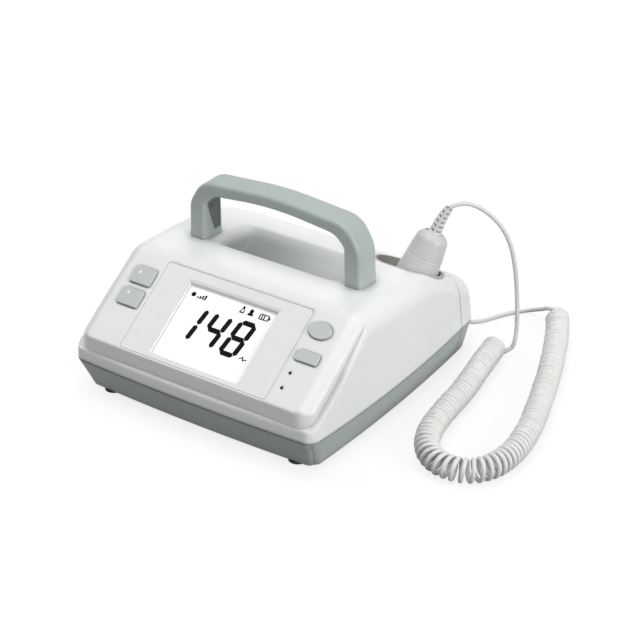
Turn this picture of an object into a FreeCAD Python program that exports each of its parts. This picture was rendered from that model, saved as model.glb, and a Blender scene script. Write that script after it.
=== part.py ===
import FreeCAD, Part
import math
import os
from FreeCAD import Vector, Rotation, Placement

# Tabletop fetal doppler monitor: white housing on a grey base tray, carrying handle, sloping
# display panel with four keys, and a probe on a curly cord standing in a pocket at the rear.
# Millimetres. X to the right, Y to the back, Z up, origin on the floor under the middle of the
# housing. A length called "back" is measured from the front of the housing.

# ---- housing ----
body_depth = 244.0
front_half_width = 115.0
middle_half_width = 122.8
rear_half_width = 117.6
front_bow = 3.0
front_corner_radius = 4.0
shoulder_radius = 17.0
side_draft = 7.0
front_draft = 3.0
wall = 2.6
foot_height = 3.0
seam_height = 30.0
seam_gap = 0.6
rear_cover_depth = 29.0
rear_split_gap = 0.5

# ---- roof line, seen from the side ----
panel_front_back = 2.0
panel_front_height = 51.1
panel_slope = 33.4
panel_length = 93.6
crest_radius = 22.0
roof_fall = 4.7
roof_knee_setback = 57.6
roof_knee_radius = 150.0
rear_knee_height = 60.2
rear_knee_radius = 51.0

# ---- step that the control panel stands on ----
island_setback = 4.5
island_front_back = 4.8
island_corner_radius = 12.0
ledge_height = 40.0
ledge_width = 3.0
ledge_low_radius = 20.0
ledge_middle_radius = 90.0
ledge_middle_back = 43.0
ledge_middle_height = 63.5
ledge_top_back = 92.0
ledge_top_height = 104.5

# ---- finger scoop behind the handle ----
scoop_back = 144.0
scoop_length = 48.0
scoop_depth = 14.0
scoop_half_width = 48.0
scoop_fall = 6.7

# ---- base tray ----
tray_front_half_width = 109.5
tray_middle_half_width = 115.4
tray_rear_half_width = 112.0
tray_front_inset = 11.0
tray_rear_inset = 2.0
tray_wall = 2.6
tongue_height = 4.0
tongue_thickness = 1.6
tongue_root = 3.0

# ---- display ----
overlay_half_width = 69.6
overlay_low = 5.0
overlay_high = 86.0
overlay_thickness = 1.5
overlay_corner_radius = 3.0
display_width = 83.0
display_height = 64.5
display_low = 9.7
display_bevel = 1.1
window_margin = 3.0
window_thickness = 1.4
lcd_thickness = 1.2
backlight_thickness = 3.4
lcd_frame_margin = 4.6

# ---- clearances ----
slip = 0.3
seat = 0.05
running = 0.05

# ---- keys ----
key_gap = 0.35
key_height = 2.0
key_travel = 1.0
key_edge_radius = 0.6
key_flange = 1.5
key_flange_thickness = 1.1
key_stem_length = 1.6
key_stem_width = 5.0
square_key_width = 20.0
square_key_height = 15.5
square_key_corner = 1.8
square_key_setback = 26.5
upper_key_place = 66.8
lower_key_place = 46.3
oval_key_width = 20.0
oval_key_height = 14.5
oval_key_setback = 27.2
oval_key_place = 71.5
bar_key_width = 20.0
bar_key_height = 9.5
bar_key_setback = 25.6
bar_key_place = 47.7
indicator_setback = 32.7
indicator_places = (31.8, 18.6)
indicator_radius = 1.3
indicator_depth = 2.0
indicator_rim = 0.8

# ---- boards ----
board_thickness = 1.6
panel_board_depth = 11.0
panel_board_margin = 11.5
panel_board_low = 5.0
panel_board_high = 86.0
switch_width = 6.0
switch_height = 3.5
plunger_radius = 1.7
post_radius = 3.6
screw_radius = 1.25
screw_head_radius = 2.6
screw_head_height = 1.8
screw_head_edge = 0.7
screw_drive_length = 3.6
screw_drive_width = 0.8
screw_drive_depth = 0.7
panel_screw_length = 8.0
main_screw_length = 7.0
power_screw_length = 5.0
main_board_width = 112.0
main_board_length = 92.0
main_board_x = 36.0
main_board_back = 78.0
main_board_height = 14.0

# ---- handle ----
handle_back = 116.7
handle_foot_depth = 25.0
handle_top_depth = 24.0
handle_foot_radius = 60.0
handle_foot_half_width = 84.5
handle_knee_half_width = 82.0
handle_knee_drop = 20.5
handle_shoulder_half_width = 70.0
handle_shoulder_height = 151.5
handle_crown = 157.5
handle_knee_radius = 24.0
handle_shoulder_radius = 22.0
crown_radius = 300.0
hand_knee_radius = 9.0
hand_shoulder_radius = 16.0
handle_thickness = 10.2
leg_width = 16.6
leg_taper = 1.2
hand_knee_rise = 1.0
hand_corner = 8.5
hand_drop = 0.5
arch_low = 60.0
handle_edge_radius = 3.2
liner_recess = 1.2
liner_thickness = 2.2
liner_setback = 3.5
liner_foot_setback = 13.5
liner_rear_margin = 1.6
liner_foot_rise = 1.4
handle_screw_drop = 5.6
handle_screw_setback = 12.0
handle_screw_length = 9.0
handle_bolt_radius = 2.5
handle_bolt_depth = 22.0
handle_bolt_head_radius = 3.8
handle_bolt_head_height = 2.8
handle_bolt_setback = 10.5

# ---- speaker ----
speaker_x = -58.0
speaker_back = 92.0
speaker_radius = 28.5
speaker_depth = 19.0
magnet_radius = 14.0
speaker_slot_width = 2.6
speaker_slot_pitch = 6.0
speaker_slot_count = 7

# ---- battery ----
cell_radius = 7.25
cell_length = 50.5
cell_count = 5
battery_x = -38.0
battery_share = 0.7213
hatch_margin = 5.0
hatch_thickness = 2.2

bay_wall = 1.6
bay_height = 22.5
hatch_ear_radius = 5.0

# ---- rear sockets ----
jack_x = -45.0
jack_radius = 1.8
jack_length = 14.0
jack_body_width = 8.8
jack_nose_radius = 3.9
jack_nose_length = 5.0
charger_x = -12.0
charger_width = 8.9
charger_height = 3.2
charger_length = 9.0
power_board_x = -30.0
power_board_width = 64.0
power_board_length = 21.0
power_board_height = 12.0

# ---- feet and tray screws ----
foot_radius = 7.5
foot_x = 90.0
front_foot_back = 20.5
rear_foot_setback = 41.0
foot_seat_depth = 1.0
tray_screw_x = 106.0
front_screw_back = 44.0
rear_screw_back = 138.0
cover_screw_x = 76.0
cover_screw_setback = 16.0
tray_screw_radius = 1.7
tray_boss_radius = 5.0
column_radius = 4.2
rib_width = 2.0
tray_boss_height = 8.0
screw_sink = 4.5
long_screw_bite = 11.5
long_head_height = 2.4

hook_x = 40.0
hook_width = 14.0
hook_reach = 7.0

# ---- probe pocket ----
pocket_x = 80.0
pocket_setback = 49.9
pocket_length = 56.0
pocket_width = 36.8
pocket_lean = 20.5
pocket_wall = 1.6
mouth_fall = 8.0

# ---- probe ----
probe_x = 89.5
probe_lean_right = 14.2
probe_radius = 17.4
probe_neck_radius = 14.9
probe_cap_radius = 15.6
probe_ring_place = 10.0
probe_ring_height = 1.6
probe_cap_top = 31.5
probe_head = -64.0
probe_wall = 2.2
probe_flare_low = -1.0
head_edge_radius = 3.0
probe_cap_bulge = 21.0
probe_dome_radius = 11.0
lens_thickness = 3.0
crystal_radius = 4.0
crystal_thickness = 1.2
crystal_ring = 9.6
probe_board_length = 50.0

# ---- cord ----
cord_diameter = 3.7
coil_diameter = 20.4
relief_base_radius = 4.4
relief_tip_radius = 2.7
loop_start = (11.4, 23.4)
loop_start_heading = 25.5
loop_first_run = 7.0
loop_way = Vector(0.819, 0.573, 0).normalize()
gland_x = 93.0
gland_height = 14.0
gland_radius = 4.6
gland_flange_radius = 6.2
gland_length = 16.0
gland_flange_start = 0.5

front = -body_depth / 2
panel_rise = math.radians(panel_slope)
crest_back = panel_front_back + panel_length * math.cos(panel_rise)
crest_height = panel_front_height + panel_length * math.sin(panel_rise)
over_roof = crest_height + shoulder_radius
rear_split_back = body_depth - rear_cover_depth
roof_knee_back = body_depth - roof_knee_setback
pocket_back = body_depth - pocket_setback
rear_foot_back = body_depth - rear_foot_setback
cover_screw_back = body_depth - cover_screw_setback
battery_back = body_depth * battery_share
island_half_width = front_half_width - island_setback
panel_board_half_width = island_half_width - panel_board_margin
square_key_x = square_key_setback - island_half_width
oval_key_x = island_half_width - oval_key_setback
bar_key_x = island_half_width - bar_key_setback
indicator_x = island_half_width - indicator_setback
handle_knee_height = handle_shoulder_height - handle_knee_drop
hand_knee_height = handle_knee_height + hand_knee_rise
handle_screw_height = hand_knee_height - handle_screw_drop
liner_foot = crest_height + liner_foot_rise
tray_floor = foot_height + tray_wall
window_top = -overlay_thickness - seat
glass_top = window_top - window_thickness - seat
backlight_top = glass_top - lcd_thickness - seat
panel_place = Placement(Vector(0, front + panel_front_back, panel_front_height),
                        Rotation(Vector(1, 0, 0), panel_slope))


def at(x, back, z):
    return Vector(x, front + back, z)


def on_panel(shape):
    # Shapes for the panel are drawn flat: x across, y up the slope, z out of the surface.
    return shape.transformed(panel_place.toMatrix())


# ---- drawing helpers ----

def rounded_corner(before, corner, after, radius):
    # Start, middle and end of the arc that rounds a corner, kept within its two sides.
    back_way = (before - corner).normalize()
    on_way = (after - corner).normalize()
    half_turn = (math.pi - back_way.getAngle(on_way)) / 2
    room = 0.49 * min((before - corner).Length, (after - corner).Length)
    reach = min(radius * math.tan(half_turn), room)
    fitted = reach / math.tan(half_turn)
    middle_way = (back_way + on_way).normalize()
    to_middle = fitted / math.cos(half_turn) - fitted
    return corner + back_way * reach, corner + middle_way * to_middle, corner + on_way * reach


def rounded_outline(corners, radii):
    # Closed wire through the corners, each rounded by its own radius.
    arcs = []
    for i, corner in enumerate(corners):
        before = corners[i - 1]
        after = corners[(i + 1) % len(corners)]
        if radii[i] > 0:
            arcs.append(rounded_corner(before, corner, after, radii[i]))
        else:
            arcs.append((corner, None, corner))
    edges = []
    for i, (start, middle, end) in enumerate(arcs):
        if middle is not None:
            edges.append(Part.Arc(start, middle, end).toShape())
        next_start = arcs[(i + 1) % len(arcs)][0]
        if (next_start - end).Length > 1e-6:
            edges.append(Part.LineSegment(end, next_start).toShape())
    return Part.Wire(Part.sortEdges(edges)[0])


def inset_corners(corners, inset):
    # Corners of a clockwise outline in the side view, moved inwards by the same distance.
    moved = []
    for i, (u, v) in enumerate(corners):
        u0, v0 = corners[i - 1]
        u1, v1 = corners[(i + 1) % len(corners)]
        a = math.atan2(v - v0, u - u0)
        b = math.atan2(v1 - v, u1 - u)
        turn = (b - a) / 2
        middle = (a + b) / 2 - math.pi / 2
        if abs(b - a) > math.pi:
            middle += math.pi
        reach = inset / math.cos(turn) if abs(b - a) <= math.pi else -inset / math.cos(turn)
        moved.append((u + reach * math.cos(middle), v + reach * math.sin(middle)))
    return moved


def side_prism(corners, radii, half_width):
    # Side view outline of (back, height) points, extruded across the housing.
    wire = rounded_outline([at(-half_width, u, v) for u, v in corners], radii)
    return Part.Face(wire).extrude(Vector(2 * half_width, 0, 0))


def plate(x0, x1, y0, y1, z0, z1, radius):
    # Flat plate with rounded corners, for the panel or the floor.
    corners = [Vector(x0, y0, z0), Vector(x1, y0, z0), Vector(x1, y1, z0), Vector(x0, y1, z0)]
    face = Part.Face(rounded_outline(corners, [radius] * 4))
    return face.extrude(Vector(0, 0, z1 - z0))


def plate_about(x, y, width, length, z0, z1, radius):
    return plate(x - width / 2, x + width / 2, y - length / 2, y + length / 2, z0, z1, radius)


def post(x, y, z0, z1, radius):
    return Part.makeCylinder(radius, z1 - z0, Vector(x, y, z0))


def turned(points, start, direction):
    # Solid of revolution: (distance along, radius) points about the line from start.
    line = direction.normalize()
    corners = [Vector(0, 0, points[0][0])]
    corners += [Vector(radius, 0, along) for along, radius in points if radius > 0]
    corners.append(Vector(0, 0, points[-1][0]))
    face = Part.Face(Part.makePolygon(corners + [corners[0]]))
    solid = face.revolve(Vector(0, 0, 0), Vector(0, 0, 1), 360)
    return solid.transformed(Placement(start, Rotation(Vector(0, 0, 1), line)).toMatrix())


def fuse(first, *others):
    return first.fuse(list(others)).removeSplitter()


def edges_where(shape, test):
    return [edge for edge in shape.Edges if test(edge.CenterOfMass, edge)]


def save(name, shape):
    solids = shape.Solids
    result = solids[0] if len(solids) == 1 else Part.makeCompound(solids)
    result.exportStep("parts/" + name + ".step")
    print(name, "solids", len(solids), "volume", round(result.Volume, 1), "valid", result.isValid())


# ---- housing forms ----

def side_half_width(back, z):
    # The sides bow outwards in plan and lean inwards with height.
    share = back / body_depth
    bowed = front_half_width * (1 - share) * (1 - 2 * share)
    bowed += 4 * middle_half_width * share * (1 - share)
    bowed += rear_half_width * share * (2 * share - 1)
    return bowed - (z - seam_height) * math.tan(math.radians(side_draft))


def bowed_ring(halves, back0, back1, bow, z):
    # Four edges in plan: bowed front, bowed sides and straight rear.
    h0, h1, h2 = halves
    left_front = at(-h0, back0 + bow, z)
    right_front = at(h0, back0 + bow, z)
    right_rear = at(h2, back1, z)
    left_rear = at(-h2, back1, z)
    middle_back = (back0 + bow + back1) / 2
    edges = [Part.Arc(left_front, at(0, back0, z), right_front).toShape(),
             Part.Arc(right_front, at(h1, middle_back, z), right_rear).toShape(),
             Part.LineSegment(right_rear, left_rear).toShape(),
             Part.Arc(left_rear, at(-h1, middle_back, z), left_front).toShape()]
    return Part.Wire(edges)


def side_walls(inset, low, high):
    # Leaning walls of the upper housing, open at the back where the roof comes down.
    end = body_depth + 20.0
    rings = []
    for z in (low, high):
        lean = (z - seam_height) * math.tan(math.radians(front_draft))
        backs = (0.0, end / 2, end)
        halves = [side_half_width(back, z) - inset for back in backs]
        rings.append(bowed_ring(halves, inset + lean, end, front_bow, z))
    return Part.makeLoft(rings, True, True)


def roof_outline(inset, low):
    # Panel, crest, roof and rounded rear, seen from the side.
    knee_height = roof_height(roof_knee_back)
    lead = crest_radius
    foot = (panel_front_back - lead * math.cos(panel_rise),
            panel_front_height - lead * math.sin(panel_rise))
    corners = [(foot[0], low), foot, (crest_back, crest_height), (roof_knee_back, knee_height),
               (body_depth, rear_knee_height), (body_depth, low)]
    corners = inset_corners(corners, inset)
    corners[0] = (corners[0][0], low)
    corners[-1] = (corners[-1][0], low)
    radii = [0, 0, crest_radius - inset, roof_knee_radius - inset, rear_knee_radius - inset, 0]
    return corners, radii


def above_ledge(inset):
    # Everything over the narrow ledge that runs round the control panel.
    high = ledge_top_height + shoulder_radius
    ahead = -crest_radius
    corners = [(ahead, ledge_height), (ahead, high), (ledge_top_back, high),
               (ledge_top_back, ledge_top_height), (ledge_middle_back, ledge_middle_height),
               (island_front_back + ledge_width, ledge_height)]
    corners = inset_corners(corners, -inset)
    return side_prism(corners, [0, 0, 0, 0, ledge_middle_radius, ledge_low_radius],
                      middle_half_width + shoulder_radius)


def control_island(inset):
    # Column in plan that the control panel fills.
    half = island_half_width - inset
    return plate(-half, half, front + island_front_back + inset, front + body_depth, 0,
                 ledge_top_height + 2 * shoulder_radius,
                 island_corner_radius - inset)


def finger_scoop(growth):
    # Round-ended trough behind the handle, dished with a ball at each end.
    half_chord = scoop_length / 2
    radius = (half_chord ** 2 + scoop_depth ** 2) / (2 * scoop_depth)
    rim = crest_height - (scoop_back - crest_back) * math.tan(math.radians(scoop_fall))
    centre = at(-scoop_half_width, scoop_back, rim + radius - scoop_depth)
    trough = Part.makeCylinder(radius + growth, 2 * scoop_half_width, centre, Vector(1, 0, 0))
    left = Part.makeSphere(radius + growth, centre)
    right = Part.makeSphere(radius + growth, centre + Vector(2 * scoop_half_width, 0, 0))
    return trough.fuse([left, right])


def housing_form(inset, low):
    # Outer skin of the upper housing, or its hollow when inset by the wall.
    corners, radii = roof_outline(inset, low)
    roof = side_prism(corners, radii, middle_half_width + shoulder_radius)
    body = side_walls(inset, low, over_roof).common(roof)
    shoulders = edges_where(body, lambda p, edge: shoulder_edge(body, p, edge, low))
    body = body.makeFillet(shoulder_radius - inset, shoulders)
    step = above_ledge(inset).cut(control_island(inset))
    return body.cut([step, finger_scoop(inset)])


def shoulder_edge(body, middle, edge, low):
    # Edges where the roof meets a side, from the panel's front down to the rear corner.
    span = edge.BoundBox
    return abs(middle.x) > 60 and span.ZMax > low + 1.0 and span.YMax > front + 15.0


def tray_form(inset, low, high):
    # Grey base: undercut at the front, slightly at the sides, round along its lower edge.
    top = seam_height
    share = (top - foot_height)
    rings = []
    for z in (low, high):
        down = (top - z) / share
        halves = []
        tops = (side_half_width(0, top), side_half_width(body_depth / 2, top),
                side_half_width(body_depth, top))
        lows = (tray_front_half_width, tray_middle_half_width, tray_rear_half_width)
        for upper, lower in zip(tops, lows):
            halves.append(upper + (lower - upper) * down - inset)
        rings.append(bowed_ring(halves, tray_front_inset * down + inset,
                                body_depth - tray_rear_inset * down - inset, front_bow, z))
    solid = Part.makeLoft(rings, True, True)
    uprights = edges_where(solid, lambda p, e: e.BoundBox.ZLength > (high - low) * 0.9)
    fronts = [e for e in uprights if e.CenterOfMass.y < 0]
    solid = solid.makeFillet(max(front_corner_radius - inset, 0.8), fronts)
    rears = edges_where(solid, lambda p, e: e.BoundBox.ZLength > (high - low) * 0.9
                        and p.y > 0 and abs(p.x) > rear_half_width * 0.85
                        and len(e.Vertexes) == 2)
    return solid.makeFillet(shoulder_radius - inset, rears)


# ---- cutters shared by the housing pieces ----

def front_of_split(shape):
    keep = Part.makeBox(400, 400, 300, Vector(-200, front + rear_split_back - 400, -20))
    return shape.common(keep)


def behind_split(shape):
    start = front + rear_split_back + rear_split_gap
    return shape.common(Part.makeBox(400, 200, 300, Vector(-200, start, -20)))


def key_outlines(growth):
    # Flat faces of the four keys, drawn on the panel.
    def square(place):
        return key_face(square_key_x, place, square_key_width, square_key_height,
                        square_key_corner, growth)
    bar = key_face(bar_key_x, bar_key_place, bar_key_width, bar_key_height, square_key_corner,
                   growth)
    long_half = oval_key_width / 2 + growth
    short_half = oval_key_height / 2 + growth
    oval_edge = Part.Ellipse(Vector(oval_key_x, oval_key_place, 0), long_half, short_half)
    oval = Part.Face(Part.Wire(oval_edge.toShape()))
    return {"upper_left_key": square(upper_key_place), "lower_left_key": square(lower_key_place),
            "oval_key": oval, "bar_key": bar}


def key_face(x, place, width, height, corner, growth):
    w = width / 2 + growth
    h = height / 2 + growth
    points = [Vector(x - w, place - h, 0), Vector(x + w, place - h, 0),
              Vector(x + w, place + h, 0), Vector(x - w, place + h, 0)]
    return Part.Face(rounded_outline(points, [corner + growth] * 4))


def raised(face, low, high):
    lifted = face.translated(Vector(0, 0, low))
    return lifted.extrude(Vector(0, 0, high - low))


def key_middles():
    return {"upper_left_key": (square_key_x, upper_key_place),
            "lower_left_key": (square_key_x, lower_key_place),
            "oval_key": (oval_key_x, oval_key_place), "bar_key": (bar_key_x, bar_key_place)}


def panel_post_places():
    x = overlay_half_width - post_radius - 1.0
    low = panel_board_low + post_radius + 1.0
    high = panel_board_high - post_radius - 1.0
    return [(-x, low), (x, low), (-x, high), (x, high)]


def tray_screw_places():
    return [(x, back) for x in (-tray_screw_x, tray_screw_x)
            for back in (front_screw_back, rear_screw_back)]


def foot_places():
    return {"front_left_foot": (-foot_x, front_foot_back),
            "front_right_foot": (foot_x, front_foot_back),
            "rear_left_foot": (-foot_x, rear_foot_back),
            "rear_right_foot": (foot_x, rear_foot_back)}


# ---- probe pocket ----

def pocket_way():
    lean = math.radians(pocket_lean)
    return Vector(0, math.sin(lean), math.cos(lean))


def pocket_top():
    # Where the middle of the pocket comes out of the roof.
    return at(pocket_x, pocket_back, probe_height())


def probe_height():
    # Height of the roof where the probe leaves it.
    return crest_height - (pocket_back - crest_back) * math.tan(math.radians(mouth_fall))


def pocket_column(growth, low, high):
    # Round-ended slot running along the lean of the pocket.
    radius = pocket_width / 2 + growth
    half = pocket_length / 2 + growth
    points = [Vector(-half, -radius, low), Vector(half, -radius, low),
              Vector(half, radius, low), Vector(-half, radius, low)]
    face = Part.Face(rounded_outline(points, [radius * 0.98] * 4))
    column = face.extrude(Vector(0, 0, high - low))
    turn = Rotation(Vector(1, 0, 0), -pocket_lean)
    return column.transformed(Placement(pocket_top(), turn).toMatrix())


def pocket_depth():
    # Deep enough to leave a clearance under the probe's head.
    return probe_lowest() + slip


def make_probe_pocket(outer):
    cup = pocket_column(pocket_wall, -pocket_depth() - pocket_wall, 30.0)
    hollow = pocket_column(0, -pocket_depth(), 40.0)
    return cup.cut(hollow).common(outer)


# ---- housing pieces ----

def make_top_shell(outer, inner):
    shell = front_of_split(outer.cut(inner))
    depth = panel_board_depth
    posts = [post(x, y, -depth, -wall / 2, post_radius) for x, y in panel_post_places()]
    shell = shell.fuse([on_panel(each) for each in posts])
    legs = [screw_column(x, back, outer) for x, back in tray_screw_places()]
    shell = shell.fuse(legs)
    holes = [on_panel(raised(face, -20, 20)) for face in key_outlines(key_gap).values()]
    holes.append(on_panel(overlay_rebate()))
    holes.append(on_panel(window_hole()))
    for place in indicator_places:
        holes.append(on_panel(post(indicator_x, place, -20, 20, indicator_radius + 0.1)))
    for x, y in panel_post_places():
        holes.append(on_panel(post(x, y, -depth - 1, -wall, screw_radius + running)))
    for x, back in tray_screw_places():
        holes.append(screw_bore(x, back))
    holes.append(pocket_column(pocket_wall + slip, -pocket_depth() - 10, 40.0))
    for x in handle_bolt_places():
        holes.append(post(x, handle_bolt_y(), arch_low, over_roof, handle_bolt_radius + slip))
    return shell.cut(holes)


def boss_top():
    return foot_height + tray_boss_height


def screw_column(x, back, outer):
    # Long post from the roof down to the tray's boss, with a rib to the side wall.
    low = boss_top() + 2 * seat
    column = post(x, front + back, low, over_roof, column_radius)
    side = 1 if x > 0 else -1
    reach = middle_half_width - abs(x)
    rib_low = seam_height + tongue_height + slip
    rib = Part.makeBox(reach, rib_width, over_roof - rib_low,
                       Vector(min(x, x + side * reach), front + back - rib_width / 2, rib_low))
    return column.fuse(rib).common(outer)


def screw_bore(x, back):
    return post(x, front + back, 0, boss_top() + long_screw_bite + 2 * slip,
                tray_screw_radius + running)


def screw_sink_hole(x, back):
    # Clearance hole and head recess in the boss, from underneath.
    hole = post(x, front + back, 0, boss_top() + 1, tray_screw_radius + slip)
    return hole.fuse(post(x, front + back, 0, foot_height + screw_sink, screw_head() + slip))


def screw_head():
    return tray_screw_radius * 1.75


def overlay_rebate():
    edge = overlay_half_width + slip
    return plate(-edge, edge, overlay_low - slip, overlay_high + slip, -overlay_thickness, 20,
                 overlay_corner_radius + slip)


def window_hole():
    half = display_width / 2 + window_margin + slip
    return plate(-half, half, display_low - window_margin - slip,
                 display_low + display_height + window_margin + slip, -20, 20, 1.0)


def cover_screw_places():
    return [(-cover_screw_x, cover_screw_back), (cover_screw_x, cover_screw_back)]


def make_rear_cover(outer, inner):
    cap = behind_split(outer.cut(inner))
    columns = []
    for x, back in cover_screw_places():
        column = post(x, front + back, boss_top() + 2 * seat, over_roof, column_radius)
        columns.append(column.common(outer))
    cap = cap.fuse(columns)
    return cap.cut([screw_bore(x, back) for x, back in cover_screw_places()])


def make_tray(solid):
    tray = front_of_split(solid.fuse(tray_tongue()).cut(tray_hollow()))
    bosses = [battery_bay()]
    holes = []
    for x, back in tray_screw_places():
        boss = post(x, front + back, foot_height, boss_top(), tray_boss_radius)
        bosses.append(boss.common(solid))
        holes.append(screw_sink_hole(x, back))
    for x, back in foot_places().values():
        holes.append(post(x, front + back, -1, foot_height + foot_seat_depth,
                          foot_radius + slip / 2))
    for x, y in main_post_places():
        bosses.append(post(x, y, foot_height, main_board_height, post_radius))
        holes.append(post(x, y, tray_floor + 1, main_board_height + 1, screw_radius + running))
    middle = (speaker_x, front + speaker_back)
    ring = post(*middle, foot_height, speaker_seat(), speaker_radius)
    ring = ring.cut(post(*middle, 0, 40, speaker_radius - 3.0))
    bosses.append(ring)
    holes += speaker_slots()
    holes.append(hatch_hole())
    return tray.fuse(bosses).cut(holes)


def tray_rim():
    return seam_height - seam_gap / 2


def tongue_inset():
    # The tongue stands a clearance inside the upper housing's wall.
    return wall + 3 * seat


def tray_tongue():
    # Block whose rim becomes the lip inside the upper housing.
    return side_walls(tongue_inset(), tray_rim() - 1.0, tray_rim() + tongue_height)


def tray_hollow():
    # Inside of the tray, narrower along the rim where the tongue stands.
    root = seam_height - tongue_root
    low = tray_form(tray_wall, tray_floor, root)
    rim = side_walls(tongue_inset() + tongue_thickness, root - 0.3,
                     tray_rim() + tongue_height + 1.0)
    return low.fuse(rim)


def speaker_seat():
    return tray_floor + 2.0


def speaker_slots():
    # Straight slots of different length that together fill a circle.
    reach = speaker_radius - 5.0
    middle = (speaker_slot_count - 1) / 2
    slots = []
    for i in range(speaker_slot_count):
        offset = (i - middle) * speaker_slot_pitch
        half = math.sqrt(reach ** 2 - offset ** 2)
        slots.append(plate_about(speaker_x + offset, front + speaker_back, speaker_slot_width,
                                 2 * half, 0, tray_floor + 1, speaker_slot_width / 2 - 0.05))
    return slots


def main_post_places():
    y = front + main_board_back
    across = main_board_width / 2 - post_radius - 2.0
    along = main_board_length / 2 - post_radius - 2.0
    return [(main_board_x + sx * across, y + sy * along) for sx in (-1, 1) for sy in (-1, 1)]


def battery_width():
    return 2 * cell_radius * cell_count


def battery_block(growth, low, high):
    # Plain block around the row of cells.
    return plate_about(battery_x, front + battery_back, battery_width() + 2 * growth,
                       cell_length + 2 * growth, low, high, 0.8)


def battery_bay():
    return battery_block(slip + bay_wall, foot_height, bay_height)


def hatch_outline(growth, low, high):
    lid = plate_about(battery_x, front + battery_back,
                      battery_width() + 2 * (hatch_margin + growth),
                      cell_length + 2 * (hatch_margin + growth), low, high, 3.0 + growth)
    ear = post(battery_x, hatch_ear_y(), low, high, hatch_ear_radius + growth)
    return lid.fuse(ear).removeSplitter()


def hatch_ear_y():
    return front + battery_back - cell_length / 2 - hatch_margin


def hatch_hole():
    # Recess for the lid, the bay above it and the hole for the lid's screw.
    recess = hatch_outline(slip, 0, foot_height + hatch_thickness)
    inside = battery_block(slip, 0, bay_height - bay_wall)
    screw = post(battery_x, hatch_ear_y() - 1.0, 0, tray_floor + 6.0, screw_radius + running)
    return recess.fuse([inside, screw])


def make_tray_end(solid, hollow):
    end = behind_split(solid.cut(hollow))
    bosses = []
    holes = [gland_bore(), jack_window(), charger_shape(slip, 6.0)]
    for x, back in cover_screw_places():
        bosses.append(post(x, front + back, foot_height, boss_top(), tray_boss_radius))
        holes.append(screw_sink_hole(x, back))
    for x, y in power_post_places():
        bosses.append(post(x, y, foot_height, power_board_height, post_radius))
        holes.append(post(x, y, tray_floor + 1, power_board_height + 1, screw_radius + running))
    for x in (-hook_x, hook_x):
        bosses.append(tray_hook(x))
    return end.fuse(bosses).cut(holes)


def tray_hook(x):
    # Lug that reaches forward over the tray's floor.
    low = tray_floor + seat
    root = Part.makeBox(hook_width, 6.0, 3.0,
                        at(x - hook_width / 2, rear_split_back + rear_split_gap, low - 1.0))
    lug = Part.makeBox(hook_width, hook_reach + 2.0, 2.0,
                       at(x - hook_width / 2, rear_split_back - hook_reach, low))
    return root.fuse(lug)


# ---- handle ----

def handle_bolt_places():
    # Middle of the leg behind the liner's channel.
    x = handle_foot_half_width - (leg_width - liner_recess - liner_thickness) / 2
    return (-x, x)


def handle_bolt_y():
    return front + handle_back + handle_bolt_setback


def arch_prism(y, depth):
    # Outer line of the arch seen from the front, extruded to the back.
    right = [(handle_foot_half_width, arch_low), (handle_knee_half_width, handle_knee_height),
             (handle_shoulder_half_width, handle_shoulder_height)]
    return mirrored_prism(right, handle_crown, [0, handle_knee_radius, handle_shoulder_radius,
                                                crown_radius], y, depth)


def hand_opening(growth, y, depth):
    # Inner line of the arch, moved into the handle by the growth.
    foot = handle_foot_half_width - leg_width + growth
    knee = handle_knee_half_width - leg_width + leg_taper + growth
    under = handle_crown - handle_thickness + growth
    shoulder = handle_shoulder_height - handle_thickness - hand_drop + growth
    right = [(foot, arch_low), (knee, hand_knee_height),
             (knee - hand_corner + 0.4 * growth, shoulder)]
    return mirrored_prism(right, under, [0, hand_knee_radius + growth,
                                         hand_shoulder_radius + growth, crown_radius], y, depth)


def mirrored_prism(right, crown, radii, y, depth):
    points = [Vector(x, y, z) for x, z in right]
    left = [Vector(-v.x, v.y, v.z) for v in reversed(points)]
    corners = points + [Vector(0, y, crown)] + left
    outline = rounded_outline(corners, radii + radii[-2::-1])
    return Part.Face(outline).extrude(Vector(0, depth, 0))


def make_handle(outer):
    y = front + handle_back
    arch = arch_prism(y, handle_foot_depth)
    arch = arch.cut(hand_opening(0, y - 1, handle_foot_depth + 2))
    # The legs are deeper at the foot: the back runs up and forward to the grip.
    low = arch_low - handle_thickness
    high = handle_crown + handle_thickness
    foot = liner_foot - handle_thickness
    back_line = [(handle_back, low), (handle_back, high), (handle_back + handle_top_depth, high),
                 (handle_back + handle_top_depth, handle_knee_height),
                 (handle_back + handle_foot_depth, foot), (handle_back + handle_foot_depth, low)]
    arch = arch.common(side_prism(back_line, [0, 0, 0, handle_foot_radius, 0, 0],
                                  handle_foot_half_width + handle_thickness))
    arch = arch.makeFillet(handle_edge_radius, edges_where(arch, handle_rim))
    arch = arch.cut(outer.translated(Vector(0, 0, seat)))
    holes = [liner_band(0, liner_recess + liner_thickness + seat, seat)]
    for x in handle_bolt_places():
        holes.append(post(x, handle_bolt_y(), arch_low, handle_bolt_top() + slip,
                          handle_bolt_radius + running))
    holes += [handle_screw(side, running) for side in (-1, 1)]
    return arch.cut(holes)


def handle_rim(p, e):
    # Long edges of the front and back faces.
    return e.BoundBox.ZMax > arch_low + 10 and abs(p.z - arch_low) > 1.0


def roof_height(back):
    return crest_height - (back - crest_back) * math.tan(math.radians(roof_fall))


def handle_bolt_top():
    return roof_height(handle_back) + handle_bolt_depth


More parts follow.
